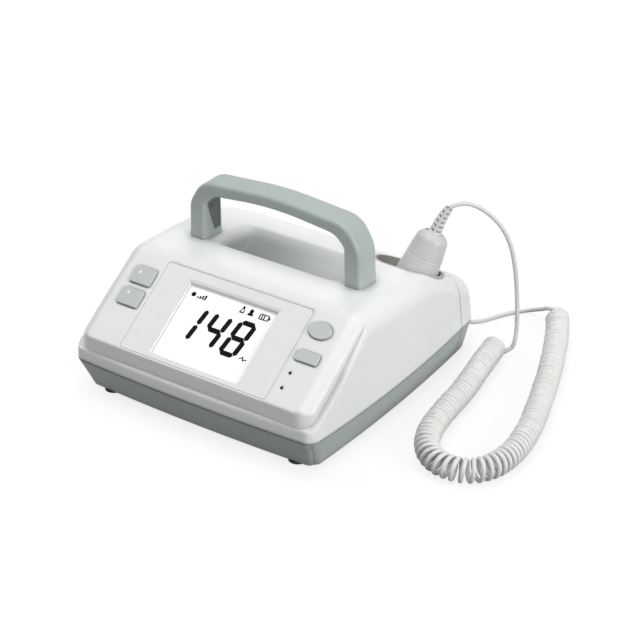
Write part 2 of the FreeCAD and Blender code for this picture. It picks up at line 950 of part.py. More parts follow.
def make_handle_bolts():
    # Bolts up through the roof into the legs, heads inside the housing.
    slope = math.tan(math.radians(roof_fall)) * handle_bolt_head_radius
    under = roof_height(handle_back + handle_bolt_setback)
    under -= wall / math.cos(math.radians(roof_fall)) + slope + seat
    bolts = []
    for x in handle_bolt_places():
        low = under - handle_bolt_head_height
        head = post(x, handle_bolt_y(), low, under, handle_bolt_head_radius)
        socket = post(x, handle_bolt_y(), low - 1, low + handle_bolt_head_height / 2,
                      handle_bolt_radius * 0.7)
        shank = post(x, handle_bolt_y(), under - slip, handle_bolt_top(), handle_bolt_radius)
        bolts.append(head.cut(socket).fuse(shank))
    return Part.makeCompound(bolts)


def liner_band(inner, outer, growth):
    # Band along the inner line of the arch, between two depths into the handle. Seen from
    # the side its front edge slants, so that the leg's light front strip widens downwards.
    y = front + handle_back
    deep = handle_foot_depth
    ring = hand_opening(outer, y, deep).cut(hand_opening(inner, y - 1, deep + 2))
    start = handle_back + liner_setback - growth
    foot_start = handle_back + liner_foot_setback - growth
    end = handle_back + handle_top_depth - liner_rear_margin + growth
    low = liner_foot - growth
    outline = [(start, handle_crown), (start, hand_knee_height), (foot_start, low), (end, low),
               (end, handle_crown)]
    return ring.common(side_prism(outline, [0, 30.0, 0, 0, 0], handle_foot_half_width + 10))


def make_handle_liner():
    band = liner_band(liner_recess, liner_recess + liner_thickness, 0)
    return band.cut([handle_screw(side, running) for side in (-1, 1)])


def handle_screw(side, growth):
    # Countersunk screw through the liner into the leg.
    share = (handle_screw_height - arch_low) / (hand_knee_height - arch_low)
    foot = handle_foot_half_width - leg_width
    knee = handle_knee_half_width - leg_width + leg_taper
    x = foot + (knee - foot) * share + liner_recess + 0.2
    y = front + handle_back + handle_screw_setback
    way = Vector(side, 0, 0)
    start = Vector(side * x, y, handle_screw_height)
    head = Part.makeCone(screw_head_radius + growth, screw_radius + growth, 1.4 + growth, start,
                         way)
    shank = Part.makeCylinder(screw_radius + growth, handle_screw_length + growth, start, way)
    screw = head.fuse(shank)
    if growth > 0:
        mouth = Part.makeCylinder(screw_head_radius + growth, 2.0, start - way * 2.0, way)
        return screw.fuse(mouth)
    slot = Part.makeBox(1.2, 0.8, 3.4, start - Vector(0.6, 0.4, 1.7))
    return screw.cut(slot)


def make_handle_screws():
    return Part.makeCompound([handle_screw(side, 0) for side in (-1, 1)])


# ---- display ----

def upright_window(width, height, z):
    middle = display_low + display_height / 2
    corners = [Vector(-width / 2, middle - height / 2, z), Vector(width / 2, middle - height / 2, z),
               Vector(width / 2, middle + height / 2, z), Vector(-width / 2, middle + height / 2, z)]
    return rounded_outline(corners, [0.6] * 4)


def make_display_overlay():
    # Thin plate with a bevelled opening.
    base = plate(-overlay_half_width, overlay_half_width, overlay_low, overlay_high,
                 -overlay_thickness + seat, 0, overlay_corner_radius)
    low = upright_window(display_width, display_height, -overlay_thickness)
    high = upright_window(display_width + 2 * display_bevel, display_height + 2 * display_bevel, 0)
    opening = Part.makeLoft([low, high], True, True)
    return on_panel(base.cut(opening))


def display_block(growth, low, high):
    half = display_width / 2 + growth
    return plate(-half, half, display_low - growth, display_low + display_height + growth, low,
                 high, 1.0)


def make_display_window():
    return on_panel(display_block(window_margin, window_top - window_thickness, window_top))


def make_lcd_glass():
    return on_panel(display_block(window_margin, glass_top - lcd_thickness, glass_top))


def make_backlight():
    return on_panel(display_block(window_margin, backlight_top - backlight_thickness,
                                  backlight_top))


def make_lcd_frame():
    # Tray that carries the glass and its light, standing on the board.
    top = -wall - slip
    board = -panel_board_depth + seat
    base = backlight_top - backlight_thickness - seat
    frame = display_block(lcd_frame_margin, board, top)
    pocket = display_block(window_margin + slip, base, top + 1)
    under = display_block(lcd_frame_margin - 1.5, board - 1, base - 1.2)
    return on_panel(frame.cut([pocket, under]))


# ---- keys and their board ----

def make_key(name):
    top = raised(key_outlines(0)[name], -wall - seat - 0.5, key_height)
    rim = edges_where(top, lambda p, e: abs(p.z - key_height) < 1e-6)
    cap = top.makeFillet(key_edge_radius, rim)
    low = flange_low()
    flange = raised(key_outlines(key_flange)[name], low, -wall - seat)
    x, y = key_middles()[name]
    stem = plate_about(x, y, key_stem_width, key_stem_width, low - key_stem_length, low + 0.5, 0.5)
    return on_panel(cap.fuse([flange, stem]).removeSplitter())


def flange_low():
    return -wall - seat - key_flange_thickness


def make_key_switches():
    # One push switch under each key; its plunger ends just under the pressed key.
    board = -panel_board_depth + seat
    plunger_top = flange_low() - key_stem_length - key_travel - running
    switches = []
    for x, y in key_middles().values():
        case = plate_about(x, y, switch_width, switch_width, board, board + switch_height, 0.4)
        plunger = post(x, y, board + 1, plunger_top, plunger_radius)
        switches.append(on_panel(case.fuse(plunger)))
    return Part.makeCompound(switches)


def make_indicator_lenses():
    lenses = []
    for place in indicator_places:
        low = -wall - indicator_depth
        lens = post(indicator_x, place, low, 0, indicator_radius)
        rim = post(indicator_x, place, low, -wall - seat, indicator_radius + indicator_rim)
        lenses.append(on_panel(lens.fuse(rim)))
    return Part.makeCompound(lenses)


def make_panel_board():
    top = -panel_board_depth
    board = plate(-panel_board_half_width, panel_board_half_width, panel_board_low,
                  panel_board_high, top - board_thickness, top, 2.0)
    holes = [post(x, y, top - 5, top + 5, screw_radius + slip) for x, y in panel_post_places()]
    return on_panel(board.cut(holes))


def small_screw(length):
    # Pan head above z = 0 and shank below it.
    head = post(0, 0, 0, screw_head_height, screw_head_radius)
    rim = edges_where(head, lambda p, e: p.z > screw_head_height - seat)
    head = head.makeFillet(screw_head_edge, rim)
    shank = post(0, 0, -length, screw_head_height / 2, screw_radius)
    return head.fuse(shank).cut(screw_drive(0, 0, screw_head_height - screw_drive_depth, 1.0))


def screw_drive(x, y, z, size):
    # Cross recess of the screw heads.
    long = screw_drive_length * size
    wide = screw_drive_width * size
    slot = Part.makeBox(long, wide, wide, Vector(x - long / 2, y - wide / 2, z))
    cross = Part.makeBox(wide, long, wide, Vector(x - wide / 2, y - long / 2, z))
    return slot.fuse(cross)


def make_board_screws():
    low = -panel_board_depth - board_thickness - seat
    screws = []
    for x, y in panel_post_places():
        turn = Placement(Vector(x, y, low), Rotation(Vector(1, 0, 0), 180))
        screws.append(on_panel(small_screw(panel_screw_length).transformed(turn.toMatrix())))
    return Part.makeCompound(screws)


def make_main_board():
    low = main_board_height + seat
    board = plate_about(main_board_x, front + main_board_back, main_board_width,
                        main_board_length, low, low + board_thickness, 2.0)
    return board.cut([post(x, y, 0, 40, screw_radius + slip) for x, y in main_post_places()])


def screws_down(places, top, length):
    screws = []
    for x, y in places:
        screws.append(small_screw(length).translated(Vector(x, y, top + seat)))
    return Part.makeCompound(screws)


def make_board_parts():
    # Chips, cans and plugs that stand on the main board.
    top = main_board_height + board_thickness + 2 * seat
    x = main_board_x
    y = front + main_board_back
    unit = main_board_width / 14
    parts = [chip(x - 2.5 * unit, y + 0.8 * unit, 2, 2, 0.22),
             chip(x + 1.8 * unit, y + 1.2 * unit, 1.2, 2.2, 0.3),
             chip(x - 2.8 * unit, y - 3 * unit, 1.5, 1.5, 0.2),
             chip(x + 2.2 * unit, y - 3 * unit, 2.8, 2, 1.5),
             chip(x - 3.6 * unit, y + 4.2 * unit, 3, 0.8, 1.1),
             chip(x + 3 * unit, y + 4.2 * unit, 2, 0.8, 1.1)]
    for across, along in ((5, 0.8), (5, -1), (-5, -0.8)):
        parts.append(post(x + across * unit, y + along * unit, top, top + 1.5 * unit, 0.6 * unit))
    return Part.makeCompound(parts)


def chip(x, y, width, length, height):
    # Block on the main board, its size counted in fourteenths of the board's width.
    unit = main_board_width / 14
    top = main_board_height + board_thickness + 2 * seat
    return plate_about(x, y, width * unit, length * unit, top, top + height * unit, 0.05 * unit)


# ---- speaker ----

def speaker_place():
    return Vector(speaker_x, front + speaker_back, speaker_seat() + seat)


def make_speaker_frame():
    # Pressed basket: flange on the tray's ring, cone-shaped wall and a neck for the magnet.
    flange = speaker_radius - 0.3
    neck = magnet_radius - 0.5
    outer = [(0, flange), (1.6, flange), (1.6, flange - 2.5), (10.0, neck + 1.5),
             (12.0, neck + 1.5)]
    inner = [(-1, flange - 2.2), (0.8, flange - 2.2), (9.2, neck), (13.0, neck)]
    up = Vector(0, 0, 1)
    basket = turned(outer, speaker_place(), up).cut(turned(inner, speaker_place(), up))
    windows = []
    for i in range(4):
        box = Part.makeBox(12.0, 40.0, 5.0, Vector(-6.0, 0, 3.0))
        box = box.transformed(Placement(speaker_place(), Rotation(Vector(0, 0, 1), 45 + 90 * i))
                              .toMatrix())
        windows.append(box)
    return basket.cut(windows)


def make_speaker_cone():
    edge = speaker_radius - 2.8
    up = Vector(0, 0, 1)
    outer = turned([(0.5, edge), (7.5, 10.0), (8.6, 7.0), (8.6, 0)], speaker_place(), up)
    inner = turned([(-0.2, edge), (6.9, 9.6), (8.0, 6.4), (8.0, 0)], speaker_place(), up)
    return outer.cut(inner)


def make_speaker_magnet():
    # Ring magnet with its pole plate, on the neck of the basket.
    points = [(12.0 + seat, magnet_radius + 1.0), (13.5, magnet_radius + 1.0),
              (13.5, magnet_radius), (speaker_depth, magnet_radius), (speaker_depth, 0)]
    core = turned([(8.6 + 2 * running, 6.0), (12.5, 6.0), (12.5, 0)], speaker_place(),
                  Vector(0, 0, 1))
    return turned(points, speaker_place(), Vector(0, 0, 1)).fuse(core)


# ---- battery ----

def make_battery_pack():
    # Wrapped row of cells.
    pitch = 2 * cell_radius - 0.1
    first = battery_x - pitch * (cell_count - 1) / 2
    low = hatch_top() + seat + cell_radius
    y = front + battery_back - cell_length / 2
    cells = [Part.makeCylinder(cell_radius, cell_length, Vector(first + i * pitch, y, low),
                               Vector(0, 1, 0)) for i in range(cell_count)]
    return fuse(cells[0], *cells[1:])


def hatch_top():
    return foot_height + hatch_thickness - seat


def make_battery_cover():
    lid = hatch_outline(0, foot_height, hatch_top())
    hole = post(battery_x, hatch_ear_y() - 1.0, 0, 20, screw_radius + slip)
    head = post(battery_x, hatch_ear_y() - 1.0, 0, foot_height + 1.2, screw_head_radius + slip)
    grooves = []
    for i in range(5):
        y = front + battery_back + cell_length / 2 - 4.0 - 2.5 * i
        grooves.append(Part.makeBox(24.0, 1.0, 0.6, Vector(battery_x - 12.0, y, foot_height)))
    return lid.cut([hole, head] + grooves)


def make_battery_cover_screw():
    place = Placement(Vector(battery_x, hatch_ear_y() - 1.0, foot_height + 1.2 - seat),
                      Rotation(Vector(1, 0, 0), 180))
    screw = small_screw(power_screw_length)
    return screw.transformed(place.toMatrix()).common(
        Part.makeBox(20, 20, 20, Vector(battery_x - 10, hatch_ear_y() - 10, foot_height - 0.4)))


# ---- rear sockets ----

def rear_face(z):
    # Where the rear wall's outer face lies at a height.
    down = (seam_height - z) / (seam_height - foot_height)
    return front + body_depth - tray_rear_inset * down


def power_top():
    return power_board_height + board_thickness + 2 * seat


def power_post_places():
    y = front + rear_split_back + rear_split_gap + power_board_length / 2 + 1.5
    across = power_board_width / 2 - post_radius - 0.5
    return [(power_board_x - across, y - 4.0), (power_board_x + across, y - 4.0)]


def make_power_board():
    low = power_board_height + seat
    y = front + rear_split_back + rear_split_gap + power_board_length / 2 + 1.5
    board = plate_about(power_board_x, y, power_board_width, power_board_length, low,
                        low + board_thickness, 1.0)
    return board.cut([post(x, y, 0, 40, screw_radius + slip) for x, y in power_post_places()])


def jack_height():
    return power_top() + jack_body_width / 2


def jack_face():
    return rear_face(jack_height())


def inner_face():
    return rear_face(0) - tray_wall - 1.0


def jack_nose(growth):
    start = Vector(jack_x, jack_face() - jack_nose_length, jack_height())
    return Part.makeCylinder(jack_nose_radius + growth, jack_nose_length, start, Vector(0, 1, 0))


def jack_window():
    return jack_nose(slip).translated(Vector(0, 2, 0)).fuse(jack_nose(slip))


def make_headphone_jack():
    length = jack_length + 2.0
    end = inner_face()
    box = Part.makeBox(jack_body_width, end - jack_face() + length, jack_body_width,
                       Vector(jack_x - jack_body_width / 2, jack_face() - length, power_top()))
    bore = Part.makeCylinder(jack_radius, jack_length,
                             Vector(jack_x, jack_face() - jack_length, jack_height()),
                             Vector(0, 1, 0))
    return box.fuse(jack_nose(0)).cut(bore)


def charger_shape(growth, beyond):
    # Flat oval of the charging socket, along the rear wall's normal.
    width = charger_width + 2 * growth
    height = charger_height + 2 * growth
    z = power_top() + charger_height / 2
    y = rear_face(z) - charger_length
    corners = [Vector(charger_x - width / 2, y, z - height / 2),
               Vector(charger_x + width / 2, y, z - height / 2),
               Vector(charger_x + width / 2, y, z + height / 2),
               Vector(charger_x - width / 2, y, z + height / 2)]
    face = Part.Face(rounded_outline(corners, [height * 0.48] * 4))
    return face.extrude(Vector(0, charger_length + beyond, 0))


def make_charging_socket():
    # Thin sleeve with a tongue in the middle.
    tube = charger_shape(0, 0)
    hollow = charger_shape(-0.4, 1.0)
    z = power_top() + charger_height / 2
    y = rear_face(z) - charger_length
    hollow = hollow.cut(Part.makeBox(charger_width, 1.0, 10, Vector(charger_x - charger_width / 2,
                                                                    y, z - 5)))
    tongue = Part.makeBox(charger_width - 3.0, charger_length - 1.0, 0.7,
                          Vector(charger_x - charger_width / 2 + 1.5, y, z - 0.35))
    return tube.cut(hollow).fuse(tongue)


def gland_face():
    return Vector(gland_x, rear_face(gland_height), gland_height)


def gland_bore():
    start = gland_face() - Vector(0, 12, 0)
    return Part.makeCylinder(gland_radius + seat, 20, start, Vector(0, 1, 0))


def make_cable_gland():
    # Barrel through the wall, flange outside and a tapered tail along the cord.
    inside = -gland_length / 2
    tip = gland_length / 2
    points = [(inside, gland_radius + 1.0), (inside + 2.0, gland_radius + 1.0),
              (inside + 2.0, gland_radius), (gland_flange_start, gland_radius),
              (gland_flange_start, gland_flange_radius), (1.8, gland_flange_radius),
              (2.2, gland_radius - 0.6), (tip, 2.6)]
    body = turned(points, gland_face(), Vector(0, 1, 0))
    bore = Part.makeCylinder(cord_diameter / 2, gland_length + 2,
                             gland_face() + Vector(0, inside - 1, 0), Vector(0, 1, 0))
    return body.cut(bore)


# ---- feet and long screws ----

def make_foot(name):
    x, back = foot_places()[name]
    return post(x, front + back, 0, foot_height + foot_seat_depth - seat, foot_radius)


def make_long_screws(places):
    # Pan head screws that come up from under the tray.
    screws = []
    length = boss_top() + long_screw_bite - foot_height - screw_sink
    for x, back in places:
        base = foot_height + screw_sink - seat
        low = base - long_head_height
        head = post(x, front + back, low, base, screw_head())
        shank = post(x, front + back, base - slip, base + length, tray_screw_radius)
        screws.append(head.fuse(shank).cut(screw_drive(x, front + back, low, 1.1)))
    return Part.makeCompound(screws)


# ---- probe ----

def probe_way():
    sideways = math.tan(math.radians(probe_lean_right))
    backwards = math.tan(math.radians(pocket_lean))
    return Vector(sideways, backwards, 1.0).normalize()


def probe_middle():
    # Where the probe's axis crosses the mouth of the pocket.
    return at(probe_x, pocket_back, probe_height())


def probe_place():
    return Placement(probe_middle(), Rotation(Vector(0, 0, 1), probe_way()))


def probe_turned(corners, radii):
    # Rounded (along, radius) outline turned about the probe's axis.
    points = [Vector(radius, 0, along) for along, radius in corners]
    solid = Part.Face(rounded_outline(points, radii)).revolve(Vector(), Vector(0, 0, 1), 360)
    return solid.transformed(probe_place().toMatrix())


def in_probe(shape):
    return shape.transformed(probe_place().toMatrix())


def probe_lowest():
    # Depth of the head's rounded edge along the pocket.
    lean = pocket_way().getAngle(probe_way())
    return ((-probe_head - head_edge_radius) * math.cos(lean)
            + (probe_radius - head_edge_radius) * math.sin(lean) + head_edge_radius)


def make_probe_body():
    # Barrel of the probe, drawn in to a neck at the ring.
    outer = probe_turned([(probe_head, 0), (probe_head, probe_radius),
                          (probe_flare_low, probe_radius), (probe_ring_place, probe_neck_radius),
                          (probe_ring_place, 0)], [0, head_edge_radius, 12.0, 0, 0])
    bore = probe_radius - probe_wall
    inner = probe_turned([(probe_head - 2, 0), (probe_head - 2, bore), (probe_flare_low, bore),
                          (probe_ring_place + 2, probe_neck_radius - probe_wall),
                          (probe_ring_place + 2, 0)], [0, 0, 10.0, 0, 0])
    return outer.cut(inner)


def make_probe_lens():
    radius = probe_radius - probe_wall - running
    top = probe_head + lens_thickness
    return probe_turned([(probe_head, 0), (probe_head, radius), (top, radius), (top, 0)],
                        [0, 0.8, 0, 0])


def make_probe_crystals():
    # Seven round crystals bonded behind the lens.
    low = probe_head + lens_thickness + seat
    discs = [post(0, 0, low, low + crystal_thickness, crystal_radius)]
    for i in range(6):
        turn = math.radians(60 * i)
        discs.append(post(crystal_ring * math.cos(turn), crystal_ring * math.sin(turn), low,
                          low + crystal_thickness, crystal_radius))
    return Part.makeCompound([in_probe(disc) for disc in discs])


def make_probe_board():
    # Board that slides in along the barrel, its edges held by the bore.
    half = probe_radius - probe_wall - running
    low = probe_head + lens_thickness + crystal_thickness + 2 * seat
    board = Part.makeBox(2 * half - 0.1, board_thickness, probe_board_length,
                         Vector(-half + 0.05, -board_thickness / 2, low))
    return in_probe(board)


def make_probe_ring():
    low = probe_ring_place + seat
    high = probe_ring_place + probe_ring_height
    outer = probe_neck_radius + 0.2
    inner = probe_neck_radius - probe_wall
    return probe_turned([(low, inner), (low, outer), (high, outer), (high, inner)],
                        [0, 0.3, 0.3, 0])


def cap_form(inset):
    low = probe_ring_place + probe_ring_height + seat - inset
    top = probe_cap_top - inset
    wide = probe_cap_radius - inset
    return probe_turned([(low, 0), (low, probe_neck_radius - 0.1 - inset),
                         (probe_cap_bulge, wide), (top, wide), (top, 0)],
                        [0, 0, 20.0, probe_dome_radius - inset, 0])


def make_probe_cap():
    # Domed end cap with a hole for the cord.
    hole = in_probe(post(0, 0, probe_cap_top - 8, probe_cap_top + 2, cord_diameter / 2 + slip))
    return cap_form(0).cut([cap_form(probe_wall), hole])


def cap_top():
    return probe_middle() + probe_way() * probe_cap_top


# ---- cord ----

def loop_point(across, up):
    # The cord's loop over the probe lies in one upright plane through the cap's top.
    return cap_top() + loop_way * across + Vector(0, 0, up)


def loop_heading(degrees):
    turn = math.radians(degrees)
    return loop_way * math.cos(turn) + Vector(0, 0, math.sin(turn))


def make_probe_strain_relief():
    # Bent rubber boot, thick where it leaves the cap.
    rings = []
    stations = [(-1.4, -3.0, 67, relief_base_radius), (3.4, 9.6, 66, 3.8),
                (7.4, 17.6, 54, 3.2), (loop_start[0], loop_start[1], loop_start_heading,
                                       relief_tip_radius)]
    for across, up, heading, radius in stations:
        circle = Part.makeCircle(radius, loop_point(across, up), loop_heading(heading))
        rings.append(Part.Wire(circle))
    boot = Part.makeLoft(rings, True, False)
    return boot.cut(cap_form(-seat))


def tube(name, points, radius):
    # Round tube along straight runs joined by tangent arcs.
    edges = []
    bends = []
    last = points[0]
    for i in range(1, len(points) - 1):
        corner = points[i]
        before = points[i - 1] - corner
        after = points[i + 1] - corner
        turn = math.pi - before.getAngle(after)
        bend = 0.45 * min(before.Length, after.Length) / math.tan(turn / 2)
        bends.append(bend)
        start, middle, end = rounded_corner(points[i - 1], corner, points[i + 1], bend)
        edges.append(Part.LineSegment(last, start).toShape())
        edges.append(Part.Arc(start, middle, end).toShape())
        last = end
    edges.append(Part.LineSegment(last, points[-1]).toShape())
    path = Part.Wire(edges)
    circle = Part.makeCircle(radius, points[0], points[1] - points[0])
    solid = path.makePipeShell([Part.Wire(circle)], True, False)
    expected = math.pi * radius ** 2 * path.Length
    print(name, "length", round(path.Length, 1), "tightest bend", round(min(bends), 1),
          "volume share", round(solid.Volume / expected, 4))
    return solid


def make_cord_lead():
    # From the boot over the top and down to the curly part.
    turn = math.radians(loop_start_heading)
    after_boot = (loop_start[0] + loop_first_run * math.cos(turn),
                  loop_start[1] + loop_first_run * math.sin(turn))
    loop = [loop_start, after_boot, (25.6, 26.9), (33.9, 23.7), (42.6, 17.9), (53.6, 6.2),
            (61.9, -10.5), (67.0, -35.0), (69.6, -61.6), (70.8, -88.4)]
    points = [loop_point(across, up) for across, up in loop]
    points += [Vector(154.4, 119.2, 12.0), Vector(146.5, 116.6, 7.0)]
    return tube("cord_lead", points, cord_diameter / 2)


def make_cord_coil():
    # Envelope of the curly part, lying on the floor beside the housing.
    route = [(140.3, 118.2), (146.3, 78.0), (153.8, 39.6), (156.4, 2.6), (160.6, -25.5),
             (170.5, -47.6), (187.7, -60.0), (209.5, -59.2), (224.3, -44.6), (229.3, -19.0),
             (225.0, 15.6), (213.5, 54.6), (199.3, 98.0), (183.0, 139.6), (170.5, 168.0),
             (161.0, 184.5)]
    height = coil_diameter / 2 + slip / 2
    points = [Vector(x, y, height) for x, y in route]
    return tube("cord_coil", points, coil_diameter / 2)


def make_cord_tail():
    # Thin cord from the end of the curly part to the gland.
    entry = gland_face()
    points = [Vector(163.5, 182.4, 17.4), Vector(153.8, 184.0, 18.4), Vector(145.0, 186.2, 14.6),
              Vector(135.0, 188.4, 7.0), Vector(123.5, 186.0, 2.4), Vector(112.6, 171.2, 2.0),
              Vector(106.4, 157.4, 2.0), Vector(102.0, 147.1, 3.6), entry + Vector(2.5, 19.4, -3.0),
              entry + Vector(0, 10.4, 0), entry - Vector(0, gland_length / 2 - 1, 0)]
    return tube("cord_tail", points, cord_diameter / 2)


def main():
    os.makedirs("parts", exist_ok=True)
    outer = housing_form(0, seam_height + seam_gap / 2)
    inner = housing_form(wall, seam_height - 2.0)
    save("top_shell", make_top_shell(outer, inner))
    save("rear_cover", make_rear_cover(outer, inner))
    solid = tray_form(0, foot_height, seam_height - seam_gap / 2)
    hollow = tray_form(tray_wall, tray_floor, seam_height + 5)
    save("tray", make_tray(solid))
    save("tray_end", make_tray_end(solid, hollow))
    save("probe_pocket", make_probe_pocket(outer))
    save("display_overlay", make_display_overlay())
    save("display_window", make_display_window())
    save("lcd_glass", make_lcd_glass())
    save("backlight", make_backlight())
    save("lcd_frame", make_lcd_frame())
    for name in key_outlines(0):
        save(name, make_key(name))
    save("key_switches", make_key_switches())
    save("indicator_lenses", make_indicator_lenses())
    save("panel_board", make_panel_board())
    save("board_screws", make_board_screws())
    save("main_board", make_main_board())
    save("board_parts", make_board_parts())
    save("main_board_screws", screws_down(main_post_places(),
                                          main_board_height + seat + board_thickness,
                                          main_screw_length))
    save("speaker_frame", make_speaker_frame())
    save("speaker_cone", make_speaker_cone())
    save("speaker_magnet", make_speaker_magnet())
    save("battery_pack", make_battery_pack())
    save("battery_cover", make_battery_cover())
    save("battery_cover_screw", make_battery_cover_screw())
    save("power_board", make_power_board())
    save("power_board_screws", screws_down(power_post_places(),
                                           power_board_height + seat + board_thickness,
                                           power_screw_length))
    save("headphone_jack", make_headphone_jack())
    save("charging_socket", make_charging_socket())
    save("cable_gland", make_cable_gland())
    for name in foot_places():
        save(name, make_foot(name))
    save("tray_screws", make_long_screws(tray_screw_places()))
    save("rear_cover_screws", make_long_screws(cover_screw_places()))
    save("handle", make_handle(outer))
    save("handle_liner", make_handle_liner())
    save("handle_screws", make_handle_screws())
    save("handle_bolts", make_handle_bolts())
    save("probe_body", make_probe_body())
    save("probe_lens", make_probe_lens())
    save("probe_crystals", make_probe_crystals())
    save("probe_board", make_probe_board())
    save("probe_ring", make_probe_ring())
    save("probe_cap", make_probe_cap())
    save("probe_strain_relief", make_probe_strain_relief())
    save("cord_lead", make_cord_lead())
    save("cord_coil", make_cord_coil())
    save("cord_tail", make_cord_tail())


if __name__ == "__main__":
    main()
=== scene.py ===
import bpy
import bmesh
import math
from bisect import bisect_right
from mathutils import Matrix, Vector


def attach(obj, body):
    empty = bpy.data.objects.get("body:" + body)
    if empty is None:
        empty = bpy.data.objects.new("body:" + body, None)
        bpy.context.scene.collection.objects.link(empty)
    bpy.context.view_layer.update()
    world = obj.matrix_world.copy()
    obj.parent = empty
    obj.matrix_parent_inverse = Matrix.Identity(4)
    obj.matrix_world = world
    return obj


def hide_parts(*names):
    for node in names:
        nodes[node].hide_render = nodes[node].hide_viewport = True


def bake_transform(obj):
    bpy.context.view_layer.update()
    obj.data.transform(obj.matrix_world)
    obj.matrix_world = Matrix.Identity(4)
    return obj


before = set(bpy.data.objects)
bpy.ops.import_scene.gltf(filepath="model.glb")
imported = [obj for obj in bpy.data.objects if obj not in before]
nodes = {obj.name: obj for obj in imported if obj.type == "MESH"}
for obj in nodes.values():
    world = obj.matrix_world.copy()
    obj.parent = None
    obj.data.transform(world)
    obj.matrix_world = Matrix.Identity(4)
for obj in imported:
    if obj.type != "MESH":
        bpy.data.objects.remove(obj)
scene = bpy.context.scene
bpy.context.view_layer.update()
print("frame loaded,", len(nodes), "nodes")


# small helpers for materials and pieces

def newMaterial(name):
    mat = bpy.data.materials.new(name)
    mat.use_nodes = True
    tree = mat.node_tree
    return mat, tree, tree.nodes["Principled BSDF"]


def addNode(tree, kind, **settings):
    node = tree.nodes.new(kind)
    for key, value in settings.items():
        if key in node.inputs:
            node.inputs[key].default_value = value
        else:
            setattr(node, key, value)
    return node


def combine(tree, operation, first, second):
    node = addNode(tree, "ShaderNodeMath", operation=operation)
    tree.links.new(first, node.inputs[0])
    tree.links.new(second, node.inputs[1])
    return node.outputs[0]


def objectPlace(tree):
    # the object's own metres, so that a pattern stays put on the surface
    return addNode(tree, "ShaderNodeTexCoord").outputs["Object"]


def noiseOn(tree, scale, detail=2.0, rough=0.5):
    noise = addNode(tree, "ShaderNodeTexNoise", Scale=scale, Detail=detail, Roughness=rough)
    tree.links.new(objectPlace(tree), noise.inputs["Vector"])
    return noise.outputs["Fac"]


def ramp(tree, source, low, high, start=0.3, end=0.7, smooth=False):
    # low up to start, high from end on
    node = addNode(tree, "ShaderNodeMapRange",
                   interpolation_type="SMOOTHSTEP" if smooth else "LINEAR")
    ends = {"From Min": start, "From Max": end, "To Min": low, "To Max": high}
    for key, value in ends.items():
        node.inputs[key].default_value = value
    tree.links.new(source, node.inputs["Value"])
    return node.outputs["Result"]


def tintBetween(tree, shader, noise, first, second):
    mix = addNode(tree, "ShaderNodeMix", data_type="RGBA")
    mix.inputs[6].default_value = (*first, 1)
    mix.inputs[7].default_value = (*second, 1)
    tree.links.new(ramp(tree, noise, 0, 1), mix.inputs[0])
    tree.links.new(mix.outputs[2], shader.inputs["Base Color"])


def glossBetween(tree, shader, noise, low, high):
    tree.links.new(ramp(tree, noise, low, high), shader.inputs["Roughness"])


def shadeOver(tree, shader, **settings):
    # a mix node that stands between the base colour and what fed it
    colour = shader.inputs["Base Color"].links[0].from_socket
    mix = addNode(tree, "ShaderNodeMix", data_type="RGBA", **settings)
    tree.links.new(colour, mix.inputs[6])
    tree.links.new(mix.outputs[2], shader.inputs["Base Color"])
    return mix


def paintShadeInHollows(tree, shader, reach, depth):
    # painted shade: the base colour darkens in grooves and hollows, by ambient occlusion
    openness = addNode(tree, "ShaderNodeAmbientOcclusion", samples=12, Distance=reach)
    mix = shadeOver(tree, shader, blend_type="MULTIPLY")
    mix.inputs[0].default_value = 1.0
    tree.links.new(ramp(tree, openness.outputs["AO"], depth, 1.0, 0.25, 0.92), mix.inputs[7])


def bumpOn(tree, shader, source, height, strength, edge=0.0):
    # fine relief, over edges that look rounded by the given radius
    bump = addNode(tree, "ShaderNodeBump", Strength=strength, Distance=height)
    tree.links.new(source, bump.inputs["Height"])
    if edge:
        rounded = addNode(tree, "ShaderNodeBevel", samples=8, Radius=edge)
        tree.links.new(rounded.outputs["Normal"], bump.inputs["Normal"])
    tree.links.new(bump.outputs["Normal"], shader.inputs["Normal"])


def mouldedPlastic(name, colour, look):
    # satin injection-moulded plastic: faint cloudiness, fine spark texture, uneven gloss, and
    # painted shade in its hollows where the look asks for it
    mat, tree, shader = newMaterial(name)
    look = {**plainLook, **look}
    darker = tuple(c * (1 - look["cloud"]) for c in colour)
    lighter = tuple(min(1.0, c * (1 + look["cloud"])) for c in colour)
    tintBetween(tree, shader, noiseOn(tree, look["cloudScale"], 3.0), darker, lighter)
    glossBetween(tree, shader, noiseOn(tree, look["glossScale"], 3.0),
                 look["rough"] - look["uneven"], look["rough"] + look["uneven"])
    bumpOn(tree, shader, noiseOn(tree, look["grainScale"], 2.0, 0.6), look["grain"],
           look["grainStrength"], look["edge"])
    shader.inputs["Specular IOR Level"].default_value = look["specular"]
    # painted shade in grooves and hollows
    if "hollow" in look:
        paintShadeInHollows(tree, shader, *look["hollow"])
    return mat


def metal(name, colour, rough):
    mat, tree, shader = newMaterial(name)
    shader.inputs["Metallic"].default_value = 1.0
    brushed = noiseOn(tree, 900.0, 4.0)
    tintBetween(tree, shader, brushed, tuple(c * 0.93 for c in colour), colour)
    glossBetween(tree, shader, brushed, rough - 0.06, rough + 0.06)
    bumpOn(tree, shader, brushed, 0.000008, 0.3)
    return mat


def surface(name, look):
    mat, tree, shader = newMaterial(name)
    if "tone" in look:
        scale, first, second = look["tone"]
        tintBetween(tree, shader, noiseOn(tree, scale), first, second)
    if "gloss" in look:
        scale, low, high = look["gloss"]
        glossBetween(tree, shader, noiseOn(tree, scale), low, high)
    if "grain" in look:
        scale, detail, height, strength = look["grain"]
        bumpOn(tree, shader, noiseOn(tree, scale, detail), height, strength)
    for key, value in look["sockets"].items():
        shader.inputs[key].default_value = value
    return mat


